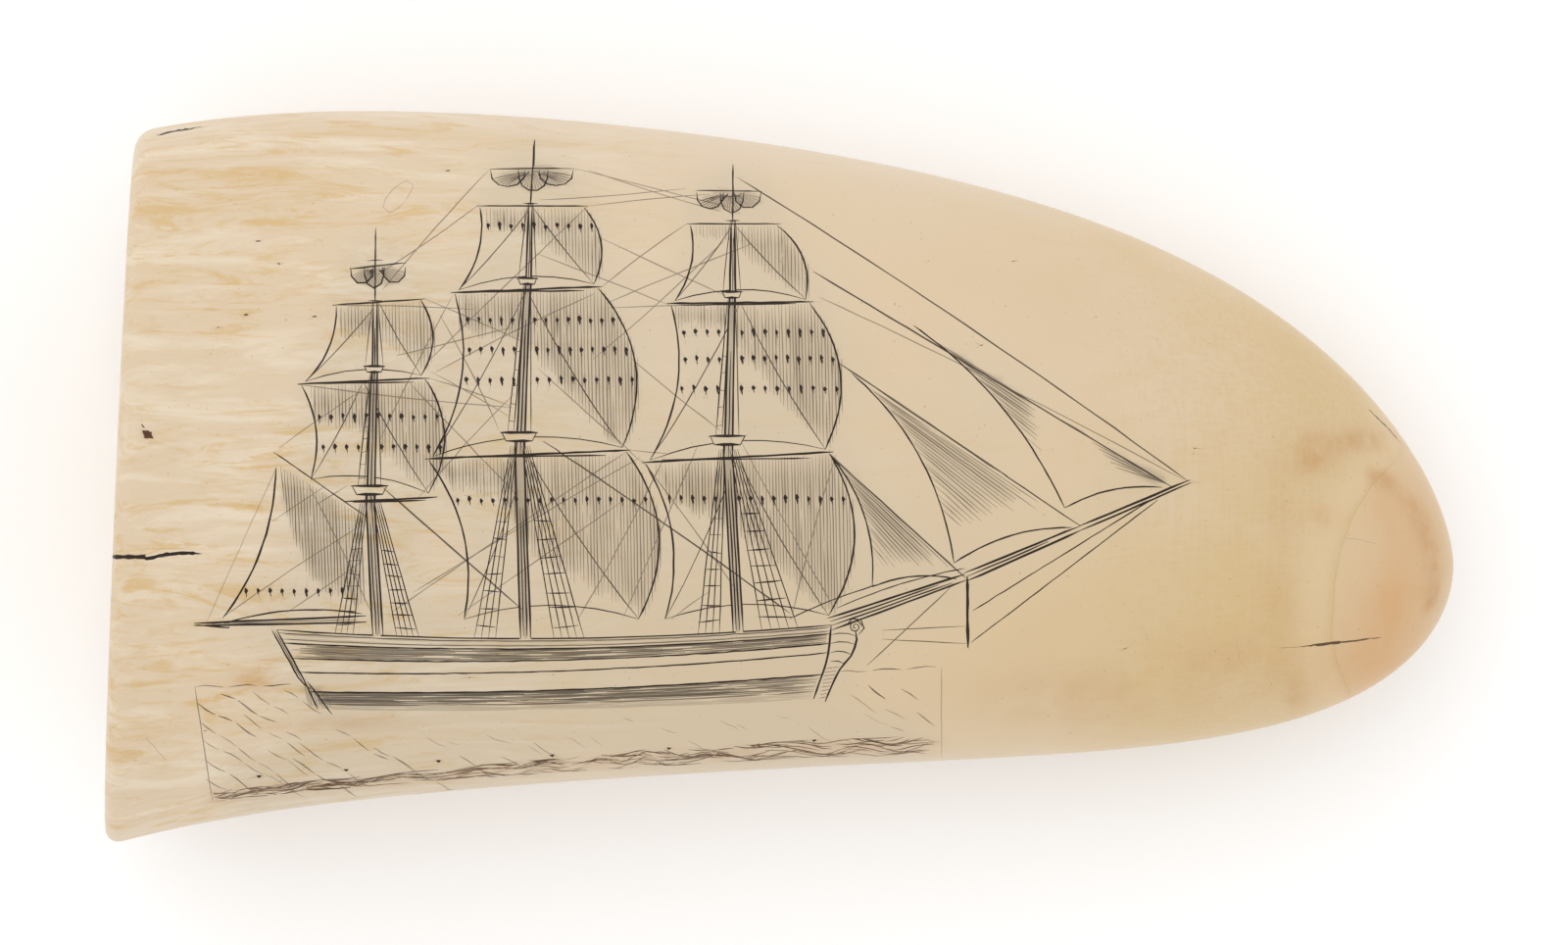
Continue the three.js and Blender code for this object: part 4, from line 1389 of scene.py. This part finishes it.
def root_streaks(n, x, colour):
    """Long streaks near the root, milky and brown, and faint ones everywhere."""
    near_root = n.ramp(x, 0.0, -0.05)
    cluster = n.times(near_root, n.ramp(n.noise(46, (0.55, 1, 1), 3, 0.6, (5, 1, 2)), 0.3, 0.52))
    milky = n.noise(260, (0.16, 1, 1), 7, 0.65, (3, 5, 1), 1.0)
    flame = n.noise(300, (0.2, 1, 1), 9, 0.72, (0, 0, 0), 1.6)
    lick = n.noise(520, (0.12, 1, 1), 8, 0.72, (1, 2, 9), 1.4)
    faint = n.noise(120, (0.2, 1, 1), 5, 0.6, (1, 8, 3), 1.0)
    colour = n.mix(n.times(near_root, 0.55), colour, PALE)
    for region, streaks, low, high, most, tone in (
        (near_root, milky, 0.47, 0.66, 0.75, MILK),
        (cluster, flame, 0.5, 0.64, 0.8, TAN),
        (near_root, lick, 0.51, 0.66, 0.45, TAN),
        (cluster, lick, 0.6, 0.72, 0.55, UMBER),
        (1.0, faint, 0.56, 0.74, 0.3, HONEY),
    ):
        colour = n.mix(n.times(region, n.ramp(streaks, low, high, 0, most)), colour, tone)
    return colour


def tip_patch(n, colour, patch, blush, stain):
    """The rosy patch at the tip, the pale band beside it, and the stains."""
    band = n.times(n.ramp(patch, -6.5, -2.0), n.ramp(patch, 0.0, -1.2))
    colour = n.mix(n.times(band, 0.5), colour, BESIDE_PATCH)
    rosy = n.mix(n.ramp(n.noise(90, (1, 0.7, 1), 3), 0.35, 0.7), *ROSE)
    colour = n.mix(n.times(n.ramp(patch, -0.2, 0.5), 0.6), colour, rosy)
    mottle = n.ramp(n.noise(150, (1, 0.7, 1), 4), 0.4, 0.7, -0.15, 0.15)
    colour = n.mix(n.within(n.math("ADD", blush, n.times(mottle, blush))), colour, PEACH)
    brown = n.times(stain, n.ramp(n.noise(190, (1, 0.8, 1), 5, 0.6), 0.34, 0.62, 0.25, 1.25))
    return n.mix(n.within(brown), colour, STAIN)


def sawn_tones(n, out):
    """Growth rings, saw marks and the paler outer rim of the sawn end."""
    rings = n.math("SINE", n.math("ADD", n.times(out, RING_RATE), n.noise(60, (1, 1, 1), 2)))
    bone = n.mix(n.ramp(rings, -1, 1, 0.0, 0.5), *RINGS)
    bone = n.mix(n.ramp(n.noise(900, (1, 0.12, 1), 2), 0.45, 0.75, 0, 0.35), bone, SAW_MARKS)
    bone = n.mix(n.ramp(out, 0.85, 0.87), bone, RIM)
    seam = n.times(n.ramp(out, 0.835, 0.855), n.ramp(out, 0.885, 0.865))
    return n.mix(n.times(seam, 0.65), bone, SEAM)


def over_the_edge(n, x, y, z):
    """The open crack where it turns over the rounded edge of the root."""
    off = n.math("ABSOLUTE", n.math("ADD", y, -EDGE_CRACK["y"] * MM))
    wander = n.times(n.math("SUBTRACT", n.noise(700, (1, 0.2, 1), 2), 0.5), 0.0005)
    half = EDGE_CRACK["half"] * MM
    near = n.ramp(n.math("ADD", off, wander), half, half * 0.5)
    at_edge = n.math("LESS_THAN", x, EDGE_CRACK["before"] * MM)
    on_top = n.math("GREATER_THAN", z, EDGE_CRACK["above"] * MM)
    return n.times(n.times(near, at_edge), on_top)


def ivory():
    n = Nodes("whale ivory")
    split = n.add("ShaderNodeSeparateXYZ")
    n.plug(split.inputs[0], n.place)
    x, y, z = (split.outputs[name] for name in "XYZ")
    ink, tint, out, patch, butt, hollow, blush, stain, rust, worn = (n.attribute(name) for name in FIELDS)

    colour = root_streaks(n, x, body_tones(n, x, y))
    colour = tip_patch(n, colour, patch, blush, stain)
    colour = n.mix(n.ramp(worn, 0.02, 0.24, 0, 0.22), colour, WORKED_IN)
    colour = n.mix(n.ramp(tint, 0.06, 0.3, 0, 0.55), colour, HATCHED)
    colour = n.mix(n.ramp(n.noise(2600, (1, 1, 1), 1), 0.73, 0.8, 0, 0.4), colour, PORES)
    colour = n.mix(butt, colour, sawn_tones(n, out))
    # Inside the cavity: the hollow's own tone at the mouth, turning to painted shade, darker brown the deeper
    # in.
    colour = n.mix(hollow, colour, n.mix(n.ramp(x, -0.074, -0.04), *HOLLOW_TONE_AND_PAINTED_SHADE))

    black = n.mix(n.noise(500, (1, 1, 1), 2), *INK)
    brown = n.mix(n.noise(400, (1, 1, 1), 2), *RUST_INK)
    dark = n.mix(n.ramp(rust, 0.15, 0.7), black, brown)
    colour = n.mix(n.math("MAXIMUM", ink, over_the_edge(n, x, y, z)), colour, dark)
    n.plug(n.shader.inputs["Base Color"], colour)
    n.plug(n.shader.inputs["Roughness"], n.ramp(n.noise(90, (0.4, 1, 1), 3), 0.2, 0.8, 0.3, 0.46))
    n.shader.inputs["Specular IOR Level"].default_value = GLOSS
    bump = n.add("ShaderNodeBump")
    bump.inputs["Distance"].default_value = GRAIN_DEPTH
    bump.inputs["Strength"].default_value = 0.5
    n.plug(bump.inputs["Height"], n.noise(700, (0.25, 1, 1), 3))
    n.plug(n.shader.inputs["Normal"], bump.outputs["Normal"])
    return n.material


tooth.data.materials.append(ivory())
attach(tooth, "root")
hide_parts(TOOTH_NODE)

# The floor, the light and the camera.
FLOOR_SIZE = 40.0
FLOOR_GAP = 0.0001
CAMERA_HEIGHT = 3.0
VIEW_WIDTH = 0.1766  # metres across the picture, at the engraved face
VIEW_CENTRE = (0.00042, 0.00031)
SENSOR = 36.0
ENGRAVED_HEIGHT = 0.04
WHITE = (1.0, 1.0, 1.0, 1)
FLOOR_WHITE = (0.985, 0.99, 1.0, 1)
FLOOR_GLOW = 0.05
SKY_STRENGTH = 0.98
KEY_STRENGTH = 0.45
KEY_SPREAD = math.radians(70)
KEY_TILT = (math.radians(-28), math.radians(-24), 0)

scene = bpy.context.scene
bpy.ops.mesh.primitive_plane_add(size=FLOOR_SIZE, location=(0, 0, -FLOOR_GAP))
floor = bpy.context.object
floor.name = "floor"
floor_nodes = Nodes("white floor")
for socket, value in (
    ("Base Color", FLOOR_WHITE),
    ("Roughness", 0.9),
    ("Specular IOR Level", 0.1),
    ("Emission Color", WHITE),
    ("Emission Strength", FLOOR_GLOW),
):
    floor_nodes.shader.inputs[socket].default_value = value
floor.data.materials.append(floor_nodes.material)

world = bpy.data.worlds.new("studio")
scene.world = world
world.use_nodes = True
world.node_tree.nodes["Background"].inputs["Color"].default_value = WHITE
world.node_tree.nodes["Background"].inputs["Strength"].default_value = SKY_STRENGTH

sun_data = bpy.data.lights.new("soft key", "SUN")
sun_data.energy = KEY_STRENGTH
sun_data.angle = KEY_SPREAD
sun = bpy.data.objects.new("soft key", sun_data)
sun.rotation_euler = KEY_TILT
scene.collection.objects.link(sun)

camera_data = bpy.data.cameras.new("camera")
camera_data.sensor_width = SENSOR
camera_data.lens = SENSOR * (CAMERA_HEIGHT - ENGRAVED_HEIGHT) / VIEW_WIDTH
camera_data.clip_start = 0.1
camera_data.clip_end = 50
camera = bpy.data.objects.new("camera", camera_data)
camera.location = (*VIEW_CENTRE, CAMERA_HEIGHT)
scene.collection.objects.link(camera)
scene.camera = camera
scene.view_settings.view_transform = "Standard"

bpy.context.view_layer.update()
